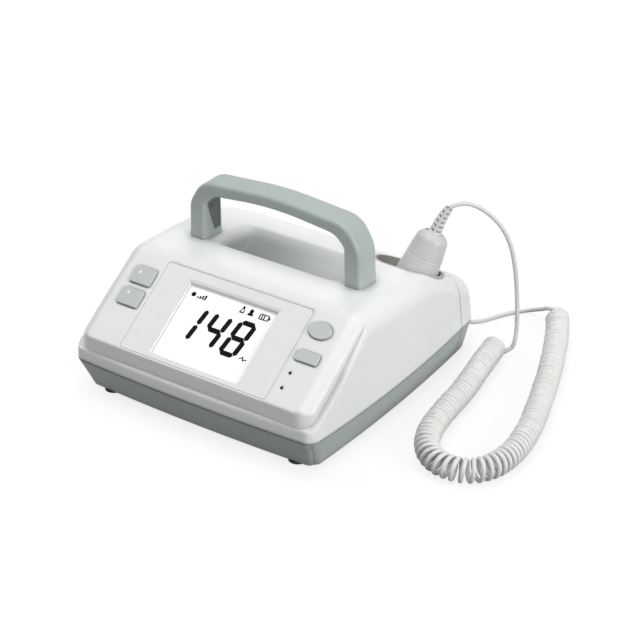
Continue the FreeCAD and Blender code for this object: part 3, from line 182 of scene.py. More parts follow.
def addPiece(name, bm, mat, body, crisp=35):
    # edges that turn by more than crisp degrees stay sharp
    mesh = bpy.data.meshes.new(name)
    bm.to_mesh(mesh)
    bm.free()
    mesh.polygons.foreach_set("use_smooth", [True] * len(mesh.polygons))
    mesh.set_sharp_from_angle(angle=math.radians(crisp))
    obj = bpy.data.objects.new(name, mesh)
    scene.collection.objects.link(obj)
    mesh.materials.append(mat)
    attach(obj, body)
    return obj


# colours and finishes of the object

plainLook = {
    "cloud": 0.012,             # how far the colour drifts either way
    "cloudScale": 38.0,
    "uneven": 0.035,            # how far the roughness does
    "glossScale": 210.0,
    "grain": 0.000012,          # height of the spark texture
    "grainScale": 2600.0,
    "grainStrength": 0.35,
    "edge": 0.0004,             # radius that the edges seem to have
    "specular": 0.4,
}
finishes = {                    # colour, roughness and what differs from the plain look
    # entries that paint shade into grooves and hollows give how far the occlusion looks and the
    # share of the colour left where darkest
    "whiteHousing": ((0.80, 0.82, 0.81), {"rough": 0.36, "edge": 0.004, "hollow": (0.012, 0.35)}),
    "rearHousing": ((0.78, 0.80, 0.785), {"rough": 0.37, "edge": 0.001}),
    "greyBase": ((0.36, 0.405, 0.375), {"rough": 0.42, "cloud": 0.02, "edge": 0.003,
                                        "hollow": (0.012, 0.6)}),
    "greyHandle": ((0.42, 0.475, 0.445), {"rough": 0.36, "cloud": 0.02, "edge": 0.002}),
    "darkLiner": ((0.16, 0.185, 0.165), {"rough": 0.6, "grain": 0.00003}),
    "keyGrey": ((0.54, 0.57, 0.56), {"rough": 0.5, "grain": 0.00002}),
    "keyMark": ((0.92, 0.92, 0.91), {"rough": 0.5}),
    # grey of the painted shade on the display opening's edges
    "bezelShadeGrey": ((0.66, 0.68, 0.675), {"rough": 0.4}),
    "bootCore": ((0.32, 0.325, 0.32), {"rough": 0.7}),
    "paleOverlay": ((0.80, 0.82, 0.815), {"rough": 0.3, "grainStrength": 0.15}),
    "probeShell": ((0.59, 0.605, 0.60), {"rough": 0.33, "edge": 0.0015}),
    "probeRing": ((0.72, 0.735, 0.72), {"rough": 0.3}),
    "pocketWall": ((0.46, 0.45, 0.42), {"rough": 0.5}),
    "blackPlastic": ((0.03, 0.03, 0.032), {"rough": 0.5}),
    "smokedLens": ((0.03, 0.045, 0.035), {"rough": 0.18}),
    "gland": ((0.62, 0.63, 0.62), {"rough": 0.5}),
    "milkyDiffuser": ((0.85, 0.85, 0.82), {"rough": 0.6}),
    "boardGreen": ((0.02, 0.14, 0.06), {"rough": 0.35, "cloudScale": 300.0, "cloud": 0.15}),
    "conePaper": ((0.03, 0.03, 0.03), {"rough": 0.85, "grain": 0.00006}),
    "cellWrap": ((0.05, 0.14, 0.38), {"rough": 0.28}),
    "footRubber": ((0.035, 0.036, 0.037), {"rough": 0.8, "grain": 0.00005}),
    "lensRubber": ((0.28, 0.33, 0.36), {"rough": 0.55}),
}
metals = {                      # colour, roughness
    "zincSteel": ((0.62, 0.62, 0.63), 0.32),
    "darkSteel": ((0.16, 0.16, 0.17), 0.4),
    "silveredDisc": ((0.72, 0.69, 0.62), 0.25),
}
surfaces = {
    "cordPlastic": {
        "tone": (120.0, (0.70, 0.71, 0.69), (0.75, 0.76, 0.74)),   # scale and two colours
        "gloss": (600.0, 0.40, 0.52),           # scale, least and most roughness
        "grain": (1900.0, 2.0, 0.000015, 0.4),  # scale, detail, height, strength
        "sockets": {"Specular IOR Level": 0.35},
    },
    "screenWhite": {            # reflective display: bright, with a painted glow from a touch of emission
        "tone": (60.0, (0.93, 0.93, 0.94), (0.97, 0.97, 0.97)),
        "grain": (3000.0, 1.0, 0.000006, 0.2),
        "sockets": {"Roughness": 0.35, "Emission Color": (1, 1, 1, 1),
                    "Emission Strength": 0.22},
    },
    "clearWindow": {
        "gloss": (40.0, 0.03, 0.07),
        "sockets": {"Base Color": (0.25, 0.26, 0.26, 1), "Alpha": 0.015,
                    "Specular IOR Level": 0.05},
    },
    "segmentInk": {
        "tone": (400.0, (0.002, 0.002, 0.003), (0.005, 0.005, 0.006)),
        "sockets": {"Roughness": 0.6, "Specular IOR Level": 0.02},
    },
}
mats = {key: mouldedPlastic(key, colour, look) for key, (colour, look) in finishes.items()}
mats.update({key: metal(key, *look) for key, look in metals.items()})
mats.update({key: surface(key, look) for key, look in surfaces.items()})

# the roof line over the finger scoop, and the painted shade below it in the scoop
scoop = {
    "roof": 0.0992,             # height of the roof line over the scoop's front edge
    "fall": 0.0824,             # how steeply it falls towards the rear
    "deep": 0.011,              # the tone is full this far below the line
    # colour of the painted shade where it is full
    "tone": (0.24, 0.265, 0.25),
    "fades": [                  # axis, start and end, share of the tone at both
        ("X", -0.062, 0.062, 0.95, 0.15),
        ("X", -0.094, -0.084, 0.0, 1.0),
        ("X", -0.078, -0.030, 0.78, 1.0),
        ("X", 0.094, 0.084, 0.0, 1.0),
        ("Y", -0.006, -0.001, 0.0, 1.0),
        ("Y", 0.052, 0.046, 0.0, 1.0),
    ],
}


def paintShadeInScoop(mat):
    # painted shade: the finger scoop darkens below the line of the roof, most at its left end
    tree = mat.node_tree
    parts = addNode(tree, "ShaderNodeSeparateXYZ")
    tree.links.new(objectPlace(tree), parts.inputs[0])
    roof = addNode(tree, "ShaderNodeMath", operation="MULTIPLY_ADD")
    tree.links.new(parts.outputs["Y"], roof.inputs[0])
    roof.inputs[1].default_value = -scoop["fall"]
    roof.inputs[2].default_value = scoop["roof"]
    depth = combine(tree, "SUBTRACT", roof.outputs[0], parts.outputs["Z"])
    shade = ramp(tree, depth, 0.0, 1.0, 0.0, scoop["deep"], smooth=True)
    for axis, start, end, low, high in scoop["fades"]:
        share = ramp(tree, parts.outputs[axis], low, high, start, end, smooth=True)
        shade = combine(tree, "MULTIPLY", shade, share)
    mix = shadeOver(tree, tree.nodes["Principled BSDF"])
    tree.links.new(shade, mix.inputs[0])
    mix.inputs[7].default_value = (*scoop["tone"], 1)


paintShadeInScoop(mats["whiteHousing"])

wears = {
    "whiteHousing": ["top_shell"],
    "rearHousing": ["rear_cover"],
    "greyBase": ["tray", "tray_end", "battery_cover"],
    "greyHandle": ["handle"],
    "darkLiner": ["handle_liner"],
    "keyGrey": ["upper_left_key", "lower_left_key", "oval_key", "bar_key"],
    "paleOverlay": ["display_overlay"],
    "probeShell": ["probe_body", "probe_cap"],
    "probeRing": ["probe_ring"],
    "pocketWall": ["probe_pocket"],
    "blackPlastic": ["lcd_frame", "key_switches", "board_parts", "headphone_jack"],
    "smokedLens": ["indicator_lenses"],
    "gland": ["cable_gland"],
    "milkyDiffuser": ["backlight"],
    "boardGreen": ["panel_board", "main_board", "power_board", "probe_board"],
    "conePaper": ["speaker_cone"],
    "cellWrap": ["battery_pack"],
    "footRubber": ["front_left_foot", "front_right_foot", "rear_left_foot", "rear_right_foot"],
    "lensRubber": ["probe_lens"],
    "zincSteel": ["board_screws", "main_board_screws", "battery_cover_screw",
                  "power_board_screws", "tray_screws", "rear_cover_screws", "handle_bolts",
                  "speaker_frame", "charging_socket"],
    "darkSteel": ["speaker_magnet", "handle_screws"],
    "silveredDisc": ["probe_crystals"],
    "screenWhite": ["lcd_glass"],
    "clearWindow": ["display_window"],
}
for matName, members in wears.items():
    for member in members:
        slots = nodes[member].data.materials
        slots.clear()
        slots.append(mats[matName])
print("finishes on", sum(len(m) for m in wears.values()), "nodes")


# rounder front corners on the housing and its base

corners = {
    "round": 0.0055,
    "cuts": 5,
    "splay": 0.0495,            # how fast the sides draw apart towards the rear
    "bow": 0.10,                # slope of the bowed front where it meets a corner
    "line": [                   # height, half width and front of the corner
        (0.0030, 0.1070, -0.1050), (0.0067, 0.1076, -0.1063), (0.0091, 0.1080, -0.1074),
        (0.0127, 0.1088, -0.1088), (0.0163, 0.1096, -0.1101), (0.0210, 0.1105, -0.1121),
        (0.0242, 0.1124, -0.1163), (0.0500, 0.1124, -0.1163)],
    "crisp": 9,                 # degrees: flatter edges than this are shaded smoothly
}
legRoof = {
    "from": 0.050,              # the scoop's ends rise to the roof between these half widths
    "to": 0.0665,
    "front": -0.005,            # and between these depths
    "back": 0.0475,
    "cuts": 8,
    "least": 0.0002,            # what lies less deep than this is roof already
    "half": 0.1,                # the cuts stay on outer faces inside these limits
    "foremost": -0.012,
    "rearmost": 0.052,
    "above": 0.08,
    "facing": 0.15,
}


def shareOf(value, start, end):
    return min(max((value - start) / (end - start), 0.0), 1.0)


def cutAt(bm, faces, place, normal):
    # an extra row of edges where a plane meets the faces
    geom = faces + list({e for f in faces for e in f.edges})
    geom += list({v for f in faces for v in f.verts})
    bmesh.ops.bisect_plane(bm, geom=geom, dist=1e-6, plane_co=place, plane_no=normal)


def cornerAt(z):
    # half width and front of the housing's corner at a height
    line = corners["line"]
    for (z0, x0, y0), (z1, x1, y1) in zip(line, line[1:]):
        if z <= z1:
            share = shareOf(z, z0, z1)
            return x0 + (x1 - x0) * share, y0 + (y1 - y0) * share
    return line[-1][1:]


def levelRoof(bm):
    # the roof stays level under the handle's legs, and the scoop ends between them
    start, end = legRoof["from"], legRoof["to"]

    def outerFaces():
        return [f for f in bm.faces if f.normal.z > legRoof["facing"]
                and all(abs(v.co.x) < legRoof["half"] and v.co.z > legRoof["above"]
                        and legRoof["foremost"] < v.co.y < legRoof["rearmost"]
                        for v in f.verts)]

    for i in range(legRoof["cuts"] + 1):
        x = start + (end - start) * i / legRoof["cuts"]
        for side in (-1, 1):
            cutAt(bm, outerFaces(), (side * x, 0, 0), (1, 0, 0))
    bm.normal_update()
    for v in {v for f in outerFaces() for v in f.verts}:
        sink = scoop["roof"] - scoop["fall"] * v.co.y - v.co.z
        share = shareOf(abs(v.co.x), start, end)
        if sink > legRoof["least"] and legRoof["front"] < v.co.y < legRoof["back"]:
            v.co.z += sink * share * share * (3 - 2 * share)


def roundCorners(nodeName, pieceName, mat, undercut=0.0, reshape=None):
    bm = bmesh.new()
    bm.from_mesh(nodes[nodeName].data)
    bmesh.ops.remove_doubles(bm, verts=bm.verts, dist=1e-6)
    reach = corners["round"]
    high, widest, foremost = corners["line"][-1]

    def nearCorner():
        span = reach * 2 + undercut
        return [f for f in bm.faces
                if any(v.co.y < foremost + span and abs(v.co.x) > widest - span
                       and v.co.z < high for v in f.verts)]

    spacing = reach / corners["cuts"]
    for i in range(1, int((reach + undercut) / spacing) + 1):
        for side in (-1, 1):
            cutAt(bm, nearCorner(), (side * (widest - spacing * i), 0, 0), (1, 0, 0))
        cutAt(bm, nearCorner(), (0, foremost + spacing * i, 0), (0, 1, 0))
    for v in bm.verts:
        halfWidth, frontY = cornerAt(v.co.z)
        wallX = halfWidth + corners["splay"] * (v.co.y - frontY)
        wallY = frontY - corners["bow"] * (halfWidth - abs(v.co.x))
        a = reach - (wallX - abs(v.co.x))
        b = reach - (v.co.y - wallY)
        if a > 0 and b > 0 and v.co.z < high:
            pull = 1 - max(a, b) / math.hypot(a, b)
            v.co.x -= math.copysign(a * pull, v.co.x)
            v.co.y += b * pull
    if reshape:
        reshape(bm)
    bmesh.ops.triangulate(bm, faces=bm.faces)
    piece = addPiece(pieceName, bm, mat, "housing", corners["crisp"])
    even = piece.modifiers.new("evenNormals", "WEIGHTED_NORMAL")
    even.keep_sharp = True
    even.weight = 100
    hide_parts(nodeName)


roundCorners("top_shell", "rounded_shell", mats["whiteHousing"],
             reshape=levelRoof)
roundCorners("tray", "rounded_base", mats["greyBase"], undercut=0.0115)
print("front corners rounded and roof levelled")


# camera

camera = {"place": (0.753274, -1.056359, 0.802741), "tilt": 30.332, "turn": 33.952,
          "lens": 104.06}
camData = bpy.data.cameras.new("camera")
camData.lens = camera["lens"]
camData.sensor_width = 36
camData.clip_end = 50
cam = bpy.data.objects.new("camera", camData)
cam.location = camera["place"]
cam.rotation_euler = (math.pi / 2 - math.radians(camera["tilt"]), 0, math.radians(camera["turn"]))
scene.collection.objects.link(cam)
scene.camera = cam


# cord

cord = {
    "wire": 0.00185,            # radius of the cord itself
    "turn": 0.00835,            # radius of a turn, to the middle of the cord
    "pitch": 0.0041,            # distance between turns where the coil lies straight
    "open": 1.15,               # how far the turns fan out in a bend
    "openMost": 0.55,           # and the most that it lowers their number by
    "wobble": [(0.012, 0.37, 0), (0.01, 0.113, 1)],     # share of the radius, rate, shift
    "perTurn": 16,              # points
    "lift": 0.01035,            # height of the coil's middle
    "firstAngle": 62,           # degrees round the coil where the tail and the lead join it
    "lastAngle": -62,
    "lastMatch": 0.96,          # cosine of what still counts as that angle
    "tailCut": 6,               # points of the tail and the lead that the coil takes over
    "leadCut": 4,
}
capTop = Vector((0.09676, 0.08283, 0.11532))            # foot of the boot on the probe's cap
loopWay = Vector((0.819, 0.573, 0)).normalized()        # level way that the lead bows in
tailRoute = [(0.093, 0.1138, 0.014), (0.093, 0.1290, 0.0138), (0.0944, 0.1370, 0.0105),
             (0.0985, 0.1440, 0.0040), (0.1045, 0.1540, 0.002), (0.1110, 0.1668, 0.002),
             (0.1178, 0.1795, 0.002), (0.1255, 0.1885, 0.0023), (0.1350, 0.1925, 0.0050),
             (0.1440, 0.1912, 0.0090), (0.1500, 0.1876, 0.0138), (0.1538, 0.1848, 0.0166)]
coilRoute = [(0.161, 0.1845), (0.1705, 0.168), (0.183, 0.1396), (0.1993, 0.098),
             (0.2135, 0.0546), (0.225, 0.0156), (0.2293, -0.019), (0.2243, -0.0446),
             (0.2095, -0.0592), (0.1877, -0.06), (0.1705, -0.0476), (0.1606, -0.0255),
             (0.1564, 0.0026), (0.1538, 0.0396), (0.1463, 0.078), (0.1403, 0.1182)]
# the lead's bow, across and up from capTop, and where it leaves the coil
leadLoop = [(0.0708, -0.0884), (0.0696, -0.0616), (0.067, -0.035), (0.0619, -0.0105),
            (0.0536, 0.0062), (0.0426, 0.0179), (0.0339, 0.0237), (0.0256, 0.0269),
            (0.01772, 0.02641), (0.0114, 0.0234)]
leadEnd = [(0.1515, 0.1192, 0.0052), (0.1548, 0.1203, 0.0122)]


def onLoop(across, up):
    return capTop + loopWay * across + Vector((0, 0, up))


def routeCurve(name, points, steps):
    data = bpy.data.curves.new(name, "CURVE")
    data.dimensions = "3D"
    data.resolution_u = steps
    spline = data.splines.new("NURBS")
    spline.points.add(len(points) - 1)
    for point, place in zip(spline.points, points):
        point.co = (*place, 1)
    spline.order_u = 3
    spline.use_endpoint_u = True
    return bpy.data.objects.new(name, data)


def alongRoute(points, steps):
    # the smooth line through a route, as plain points
    obj = routeCurve("route", points, steps)
    mesh = bpy.data.meshes.new_from_object(obj)
    line = [v.co.copy() for v in mesh.vertices]
    bpy.data.meshes.remove(mesh)
    bpy.data.curves.remove(obj.data)
    return line


def runningLengths(line):
    lengths = [0.0]
    for a, b in zip(line, line[1:]):
        lengths.append(lengths[-1] + (b - a).length)
    return lengths


def coilTurns(line):
    # left-handed turns about the route, wider apart where it bends
    lengths = runningLengths(line)
    total = lengths[-1]

    def placeAt(s):
        s = min(max(s, 0.0), total)
        low = min(bisect_right(lengths, s) - 1, len(line) - 2)
        share = (s - lengths[low]) / (lengths[low + 1] - lengths[low])
        return line[low].lerp(line[low + 1], share)

    def headingAt(s, near=0.002):
        s = min(max(s, near), total - near)
        return (placeAt(s + near) - placeAt(s - near)).normalized()

    def bendAt(s, span=0.008):
        a, b = headingAt(s - span), headingAt(s + span)
        return a.angle(b) / (2 * span)

    turns = []
    s = cord["wire"]
    angle = math.radians(cord["firstAngle"])
    step = 2 * math.pi / cord["perTurn"]
    while s < total - cord["wire"]:
        heading = headingAt(s)
        side = heading.cross(Vector((0, 0, 1))).normalized()
        radius = cord["turn"] * sum((size * math.sin(angle * rate + shift)
                                     for size, rate, shift in cord["wobble"]), 1)
        middle = placeAt(s) + Vector((0, 0, radius - cord["turn"]))
        turns.append(middle + side * radius * math.cos(angle)
                     + Vector((0, 0, radius * math.sin(angle))))
        tight = 1 - min(cord["openMost"], cord["open"] * cord["turn"] * bendAt(s))
        s += cord["pitch"] / tight / cord["perTurn"]
        angle += step
    # back to the angle where the straight lead takes over
    while math.cos(angle - step - math.radians(cord["lastAngle"])) < cord["lastMatch"]:
        turns.pop()
        angle -= step
    return turns


def makeCord():
    tail = alongRoute(tailRoute, steps=10)[:-cord["tailCut"]]
    middle = alongRoute([(x, y, cord["lift"]) for x, y in coilRoute], steps=24)
    turns = coilTurns(middle)
    lead = alongRoute(leadEnd + [onLoop(a, u) for a, u in leadLoop], steps=12)[cord["leadCut"]:]
    curve = routeCurve("cordLine", tail + turns + lead, steps=2)
    bare = bpy.data.meshes.new_from_object(curve)
    path = [tuple(v.co) for v in bare.vertices]
    length = runningLengths([v.co for v in bare.vertices])[-1]
    curve.data.bevel_depth = cord["wire"]
    curve.data.bevel_resolution = 3
    curve.data.use_fill_caps = True
    mesh = bpy.data.meshes.new_from_object(curve)
    mesh.name = "curly_cord"
    mesh.polygons.foreach_set("use_smooth", [True] * len(mesh.polygons))
    bpy.data.meshes.remove(bare)
    bpy.data.curves.remove(curve.data)
    obj = bpy.data.objects.new("curly_cord", mesh)
    scene.collection.objects.link(obj)
    mesh.materials.append(mats["cordPlastic"])
    print("cord", round(length, 3), "m,", round(len(turns) / cord["perTurn"]), "turns,",
          len(mesh.polygons), "faces")
    return obj, path


curly, cordPath = makeCord()
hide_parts("cord_lead", "cord_coil", "cord_tail")
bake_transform(curly)


# strain relief on the probe

relief = {
    "route": [(-0.0014, -0.003), (0.0034, 0.0096), (0.0074, 0.0176), (0.0114, 0.0234)],
    "rings": 7,
    "foot": 0.0056,             # radius at the probe and where the cord comes out
    "tip": 0.0033,
    "core": 0.78,               # the dark core's share of that radius, and of the length
    "coreLong": 0.98,
    "inner": 0.6,               # the same for the rings' inside
    "high": 0.6,                # a ring's share of the pitch, and the first one's
    "highFirst": 0.75,
    "edge": 0.0002,             # bevel on the rings
    "spines": 4,
    "spineWide": 0.0019,
    "spineOut": 0.99,           # a spine's share of the radius, and of the length
    "spineLong": 0.99,
    "turned": 20,               # degrees from the first spine's place to the side
    "cuts": 11,                 # cuts along the core and the spines, so that they bend
}


def spunProfile(bm, profile, segments):
    # profile of (radius, height) pairs, turned a full circle about z
    verts = [bm.verts.new((r, 0, z)) for r, z in profile]
    edges = [bm.edges.new(pair) for pair in zip(verts, verts[1:])]
    bmesh.ops.spin(bm, geom=verts + edges, cent=(0, 0, 0), axis=(0, 0, 1), angle=2 * math.pi,
                   steps=segments, use_merge=True)
    bmesh.ops.remove_doubles(bm, verts=bm.verts, dist=1e-7)
    bmesh.ops.recalc_face_normals(bm, faces=bm.faces)


def bentAlong(bm, line):
    # moves a straight form that stands on the z axis onto the cord's line
    lengths = runningLengths(line)
    for v in bm.verts:
        s = min(max(v.co.z, 0.0), lengths[-1])
        i = min(bisect_right(lengths, s + 1e-9) - 1, len(line) - 2)
        heading = (line[i + 1] - line[i]).normalized()
        place = line[i] + heading * (s - lengths[i])
        side = heading.cross(loopWay.cross(Vector((0, 0, 1)))).normalized()
        across = side.cross(heading)
        v.co = place + side * v.co.x + across * v.co.y
    bmesh.ops.recalc_face_normals(bm, faces=bm.faces)


def makeRelief():
    # open lattice of rings and spines round a dark core
    line = alongRoute([onLoop(a, u) for a, u in relief["route"]], steps=24)
    total = runningLengths(line)[-1]
    edge = relief["edge"]

    def radiusAt(z):
        return relief["foot"] + (relief["tip"] - relief["foot"]) * z / total

    def cutLong(bm, edges):
        long = [e for e in edges if abs(e.verts[0].co.z - e.verts[1].co.z) > 0.01]
        bmesh.ops.subdivide_edges(bm, edges=long, cuts=relief["cuts"])

    core = bmesh.new()
    share, end = relief["core"], total * relief["coreLong"]
    spunProfile(core, [(0.0, 0.0), (radiusAt(0) * share, 0.0), (radiusAt(total) * share, end),
                       (0.0, end)], segments=24)
    cutLong(core, core.edges)
    bentAlong(core, line)
    addPiece("boot_core", core, mats["bootCore"], "probe")
    bm = bmesh.new()
    pitch = total / relief["rings"]
    for i in range(relief["rings"]):
        low = pitch * i
        high = low + pitch * relief["high" if i else "highFirst"]
        inner = radiusAt(low) * relief["inner"]
        spunProfile(bm, [(inner, low), (radiusAt(low) - edge, low),
                         (radiusAt(low), low + edge), (radiusAt(high), high - edge),
                         (radiusAt(high) - edge, high), (inner, high), (inner, low)],
                    segments=32)
    for i in range(relief["spines"]):
        turn = math.radians(relief["turned"] + 360 * i / relief["spines"])
        verts = bmesh.ops.create_cube(bm, size=1.0)["verts"]
        for v in verts:
            z = total * (v.co.z + 0.5) * relief["spineLong"]
            reach = radiusAt(z) * relief["spineOut" if v.co.x > 0 else "inner"]
            v.co = (Matrix.Rotation(turn, 3, "Z")
                    @ Vector((reach, v.co.y * relief["spineWide"], z)))
        cutLong(bm, [e for e in bm.edges if e.verts[0] in verts])
    bentAlong(bm, line)
    return addPiece("cord_boot", bm, mats["cordPlastic"], "probe")


boot = makeRelief()
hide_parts("probe_strain_relief")
print("cord and boot done")


# handheld probe, measured along its axis from the mouth of the pocket

probe = {
    "leanRight": 14.2,
    "leanBack": 20.5,
    "mouth": 0.0315,            # from the cap's top down to the mouth of the pocket
    "wall": 0.0022,
    "seat": 0.00005,            # hairline between the band and its neighbours
    "radius": 0.0174,
    "head": -0.064,
    "headRound": 0.0028,
    "flare": -0.007,            # from here the barrel narrows to its neck
    "flareRound": 0.004,
    "neck": 0.0153,
    "ring": 0.010,
    "ringHigh": 0.0016,
    "ringProud": 0.0002,
    "ringRound": 0.0003,
    "capIn": 0.0001,            # the cap's foot is this much inside the neck's outline
    "shoulder": 0.023,
    "shoulderRadius": 0.0139,
    "shoulderRound": 0.004,
    "top": 0.033,
    "topRadius": 0.0119,
    "topRound": 0.0074,
    "pin": 0.0012,              # small dark pin beside the boot
    "pinWay": (-0.83, -0.56, 0.05),
    "pinOut": 0.0075,
    "pinUp": 0.0328,
}


def probeFrame():
    # x to the side, y across, z along the probe from the head to the cord
    way = Vector((math.tan(math.radians(probe["leanRight"])),
                  math.tan(math.radians(probe["leanBack"])), 1)).normalized()
    middle = capTop - way * probe["mouth"]
    return Matrix.Translation(middle) @ way.to_track_quat("Z", "Y").to_matrix().to_4x4()


def turnedPiece(name, profile, mat):
    # profile of (radius, along, rounding), closed where it comes back to its start
    bm = bmesh.new()
    verts = [bm.verts.new((r, 0, z)) for r, z, rounding in profile]
    for a, b in zip(verts, verts[1:]):
        bm.edges.new((a, b))
    if profile[0][0] > 0:
        bm.edges.new((verts[-1], verts[0]))
    for v, (r, z, rounding) in zip(verts, profile):
        if rounding:
            bmesh.ops.bevel(bm, geom=[v], offset=rounding, segments=7, profile=0.5,
                            affect="VERTICES", material=-1)
    bmesh.ops.spin(bm, geom=list(bm.verts) + list(bm.edges), cent=(0, 0, 0), axis=(0, 0, 1),
                   angle=2 * math.pi, steps=72, use_merge=True)
    bmesh.ops.remove_doubles(bm, verts=bm.verts, dist=1e-7)
    bmesh.ops.transform(bm, matrix=probeFrame(), verts=bm.verts)
    bmesh.ops.recalc_face_normals(bm, faces=bm.faces)
    return addPiece(name, bm, mat, "probe")


def makeProbe():
    wall, neck, ring = probe["wall"], probe["neck"], probe["ring"]
    barrel = turnedPiece("probe_barrel", [
        (probe["radius"] - wall, probe["head"], 0),
        (probe["radius"], probe["head"], probe["headRound"]),
        (probe["radius"], probe["flare"], probe["flareRound"]), (neck, ring, 0),
        (neck - wall, ring, 0), (probe["radius"] - wall, probe["flare"], 0)],
        mats["probeShell"])
    low, high = ring + probe["seat"], ring + probe["ringHigh"]
    proud, soft = neck + probe["ringProud"], probe["ringRound"]
    band = turnedPiece("probe_band", [
        (neck - wall, low, 0), (proud, low, soft), (proud, high, soft), (neck - wall, high, 0)],
        mats["probeRing"])
    start = high + probe["seat"]
    cap = turnedPiece("probe_dome", [
        (0.0, start, 0), (neck - probe["capIn"], start, 0),
        (probe["shoulderRadius"], probe["shoulder"], probe["shoulderRound"]),
        (probe["topRadius"], probe["top"], probe["topRound"]), (0.0, probe["top"], 0)],
        mats["probeShell"])
    pin = bmesh.new()
    bmesh.ops.create_uvsphere(pin, u_segments=16, v_segments=10, radius=probe["pin"])
    out = Vector(probe["pinWay"]).normalized() * probe["pinOut"]
    place = probeFrame().to_3x3().inverted() @ out
    place.z = probe["pinUp"]
    bmesh.ops.translate(pin, verts=pin.verts, vec=place)
    bmesh.ops.transform(pin, matrix=probeFrame(), verts=pin.verts)
    addPiece("cap_pin", pin, mats["bootCore"], "probe")
    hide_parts("probe_body")
    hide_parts("probe_ring")
    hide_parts("probe_cap")


makeProbe()
print("probe done")


# picture on the display

screen = {
    "rise": 33.4,               # slope of the panel in degrees
    "origin": (0.0, -0.120, 0.0511),
    "depth": -0.002985,         # just over the display glass
    "thick": 0.00002,
    "digits": [(1, -0.0184), (4, 0.0043), (8, 0.0268)],     # each with its right edge
    "width": 0.0127,
    "middle": 0.0444,
    "half": 0.0145,
    "stroke": 0.0044,
    "tip": 0.42,                # pointed ends and gaps, as shares of the stroke
    "gap": 0.04,
    "slant": 0.157,
}
segmentsOf = {1: "bc", 4: "fgbc", 8: "abcdefg"}
signs = {
    "dots": [                   # x, y, radius, sides
        (-0.0358, 0.0677, 0.0021, 20), (0.0114, 0.0707, 0.0012, 12)],
    "bars": [                   # x and y of both ends, width
        # rising bars
        (-0.0312, 0.0655, -0.0312, 0.0670, 0.0016), (-0.0289, 0.0655, -0.0289, 0.0680, 0.0016),
        (-0.0266, 0.0655, -0.0266, 0.0690, 0.0016), (-0.0243, 0.0655, -0.0243, 0.0700, 0.0016),
        # bell and arrow
        (0.0090, 0.0662, 0.0134, 0.0662, 0.0011), (0.0097, 0.0666, 0.0107, 0.0700, 0.0009),
        (0.0131, 0.0666, 0.0121, 0.0700, 0.0009), (0.0168, 0.0667, 0.0218, 0.0667, 0.0020),
        # battery
        (0.0276, 0.0660, 0.0356, 0.0660, 0.0009), (0.0276, 0.0704, 0.0356, 0.0704, 0.0009),
        (0.0276, 0.0660, 0.0276, 0.0704, 0.0011), (0.0297, 0.0660, 0.0297, 0.0704, 0.0011),
        (0.0318, 0.0660, 0.0318, 0.0704, 0.0011), (0.0356, 0.0660, 0.0356, 0.0704, 0.0011),
        (0.0366, 0.0671, 0.0366, 0.0693, 0.0012),
        # short pulse line beside the number
        (0.0300, 0.0302, 0.0318, 0.0302, 0.0009), (0.0318, 0.0302, 0.0328, 0.0322, 0.0009),
        (0.0328, 0.0322, 0.0342, 0.0288, 0.0009), (0.0342, 0.0288, 0.0352, 0.0302, 0.0009),
        (0.0352, 0.0302, 0.0372, 0.0302, 0.0009)],
    "arrow": ((0.0193, 0.0668), (0.0193, 0.0720), 0.0034),
}


slope = math.radians(screen["rise"])
upPanel = Vector((0, math.cos(slope), math.sin(slope)))
outPanel = Vector((0, -math.sin(slope), math.cos(slope)))


def onScreen(x, y, rise):
    return (Vector(screen["origin"]) + Vector((x, 0, 0)) + upPanel * y
            + outPanel * (screen["depth"] + rise))


def addBar(bm, a, b, width, pointed=True):
    # a flat bar from a to b in screen metres, with pointed or square ends
    start, end = Vector((*a, 0)), Vector((*b, 0))
    long = (end - start).length
    turn = Matrix.Rotation(math.atan2(end.y - start.y, end.x - start.x), 4, "Z")
    place = Matrix.Translation((start + end) / 2) @ turn
    made = bmesh.ops.create_circle(bm, cap_ends=True, segments=6 if pointed else 4, radius=1.0)
    for v in made["verts"]:
        if pointed:
            side, along = v.co.x, v.co.y
            tip = abs(side) < 0.1
            v.co.x = math.copysign(long / 2 - (0 if tip else width * screen["tip"]), along)
            v.co.y = 0.0 if tip else math.copysign(width / 2, side)
        else:
            v.co = Matrix.Rotation(math.pi / 4, 3, "Z") @ v.co
            v.co.x = math.copysign(long / 2, v.co.x)
            v.co.y = math.copysign(width / 2, v.co.y)
        v.co = place @ v.co


def leaning(x, y):
    return (x + screen["slant"] * (y - screen["middle"]), y)


def addDigit(bm, digit, right):
    left = right - screen["width"]
    top = screen["middle"] + screen["half"]
    mid = screen["middle"]
    low = screen["middle"] - screen["half"]
    gap = screen["stroke"] * screen["gap"]
    ends = {
        "a": ((left + gap, top), (right - gap, top)),
        "g": ((left + gap, mid), (right - gap, mid)),
        "d": ((left + gap, low), (right - gap, low)),
        "f": ((left, mid + gap), (left, top - gap)),
        "b": ((right, mid + gap), (right, top - gap)),
        "e": ((left, low + gap), (left, mid - gap)),
        "c": ((right, low + gap), (right, mid - gap)),
    }
    for key in segmentsOf[digit]:
        a, b = ends[key]
        addBar(bm, leaning(*a), leaning(*b), screen["stroke"])


def addDisc(bm, x, y, radius, sides):
    made = bmesh.ops.create_circle(bm, cap_ends=True, segments=sides, radius=radius)
    bmesh.ops.translate(bm, verts=made["verts"], vec=(x, y, 0))


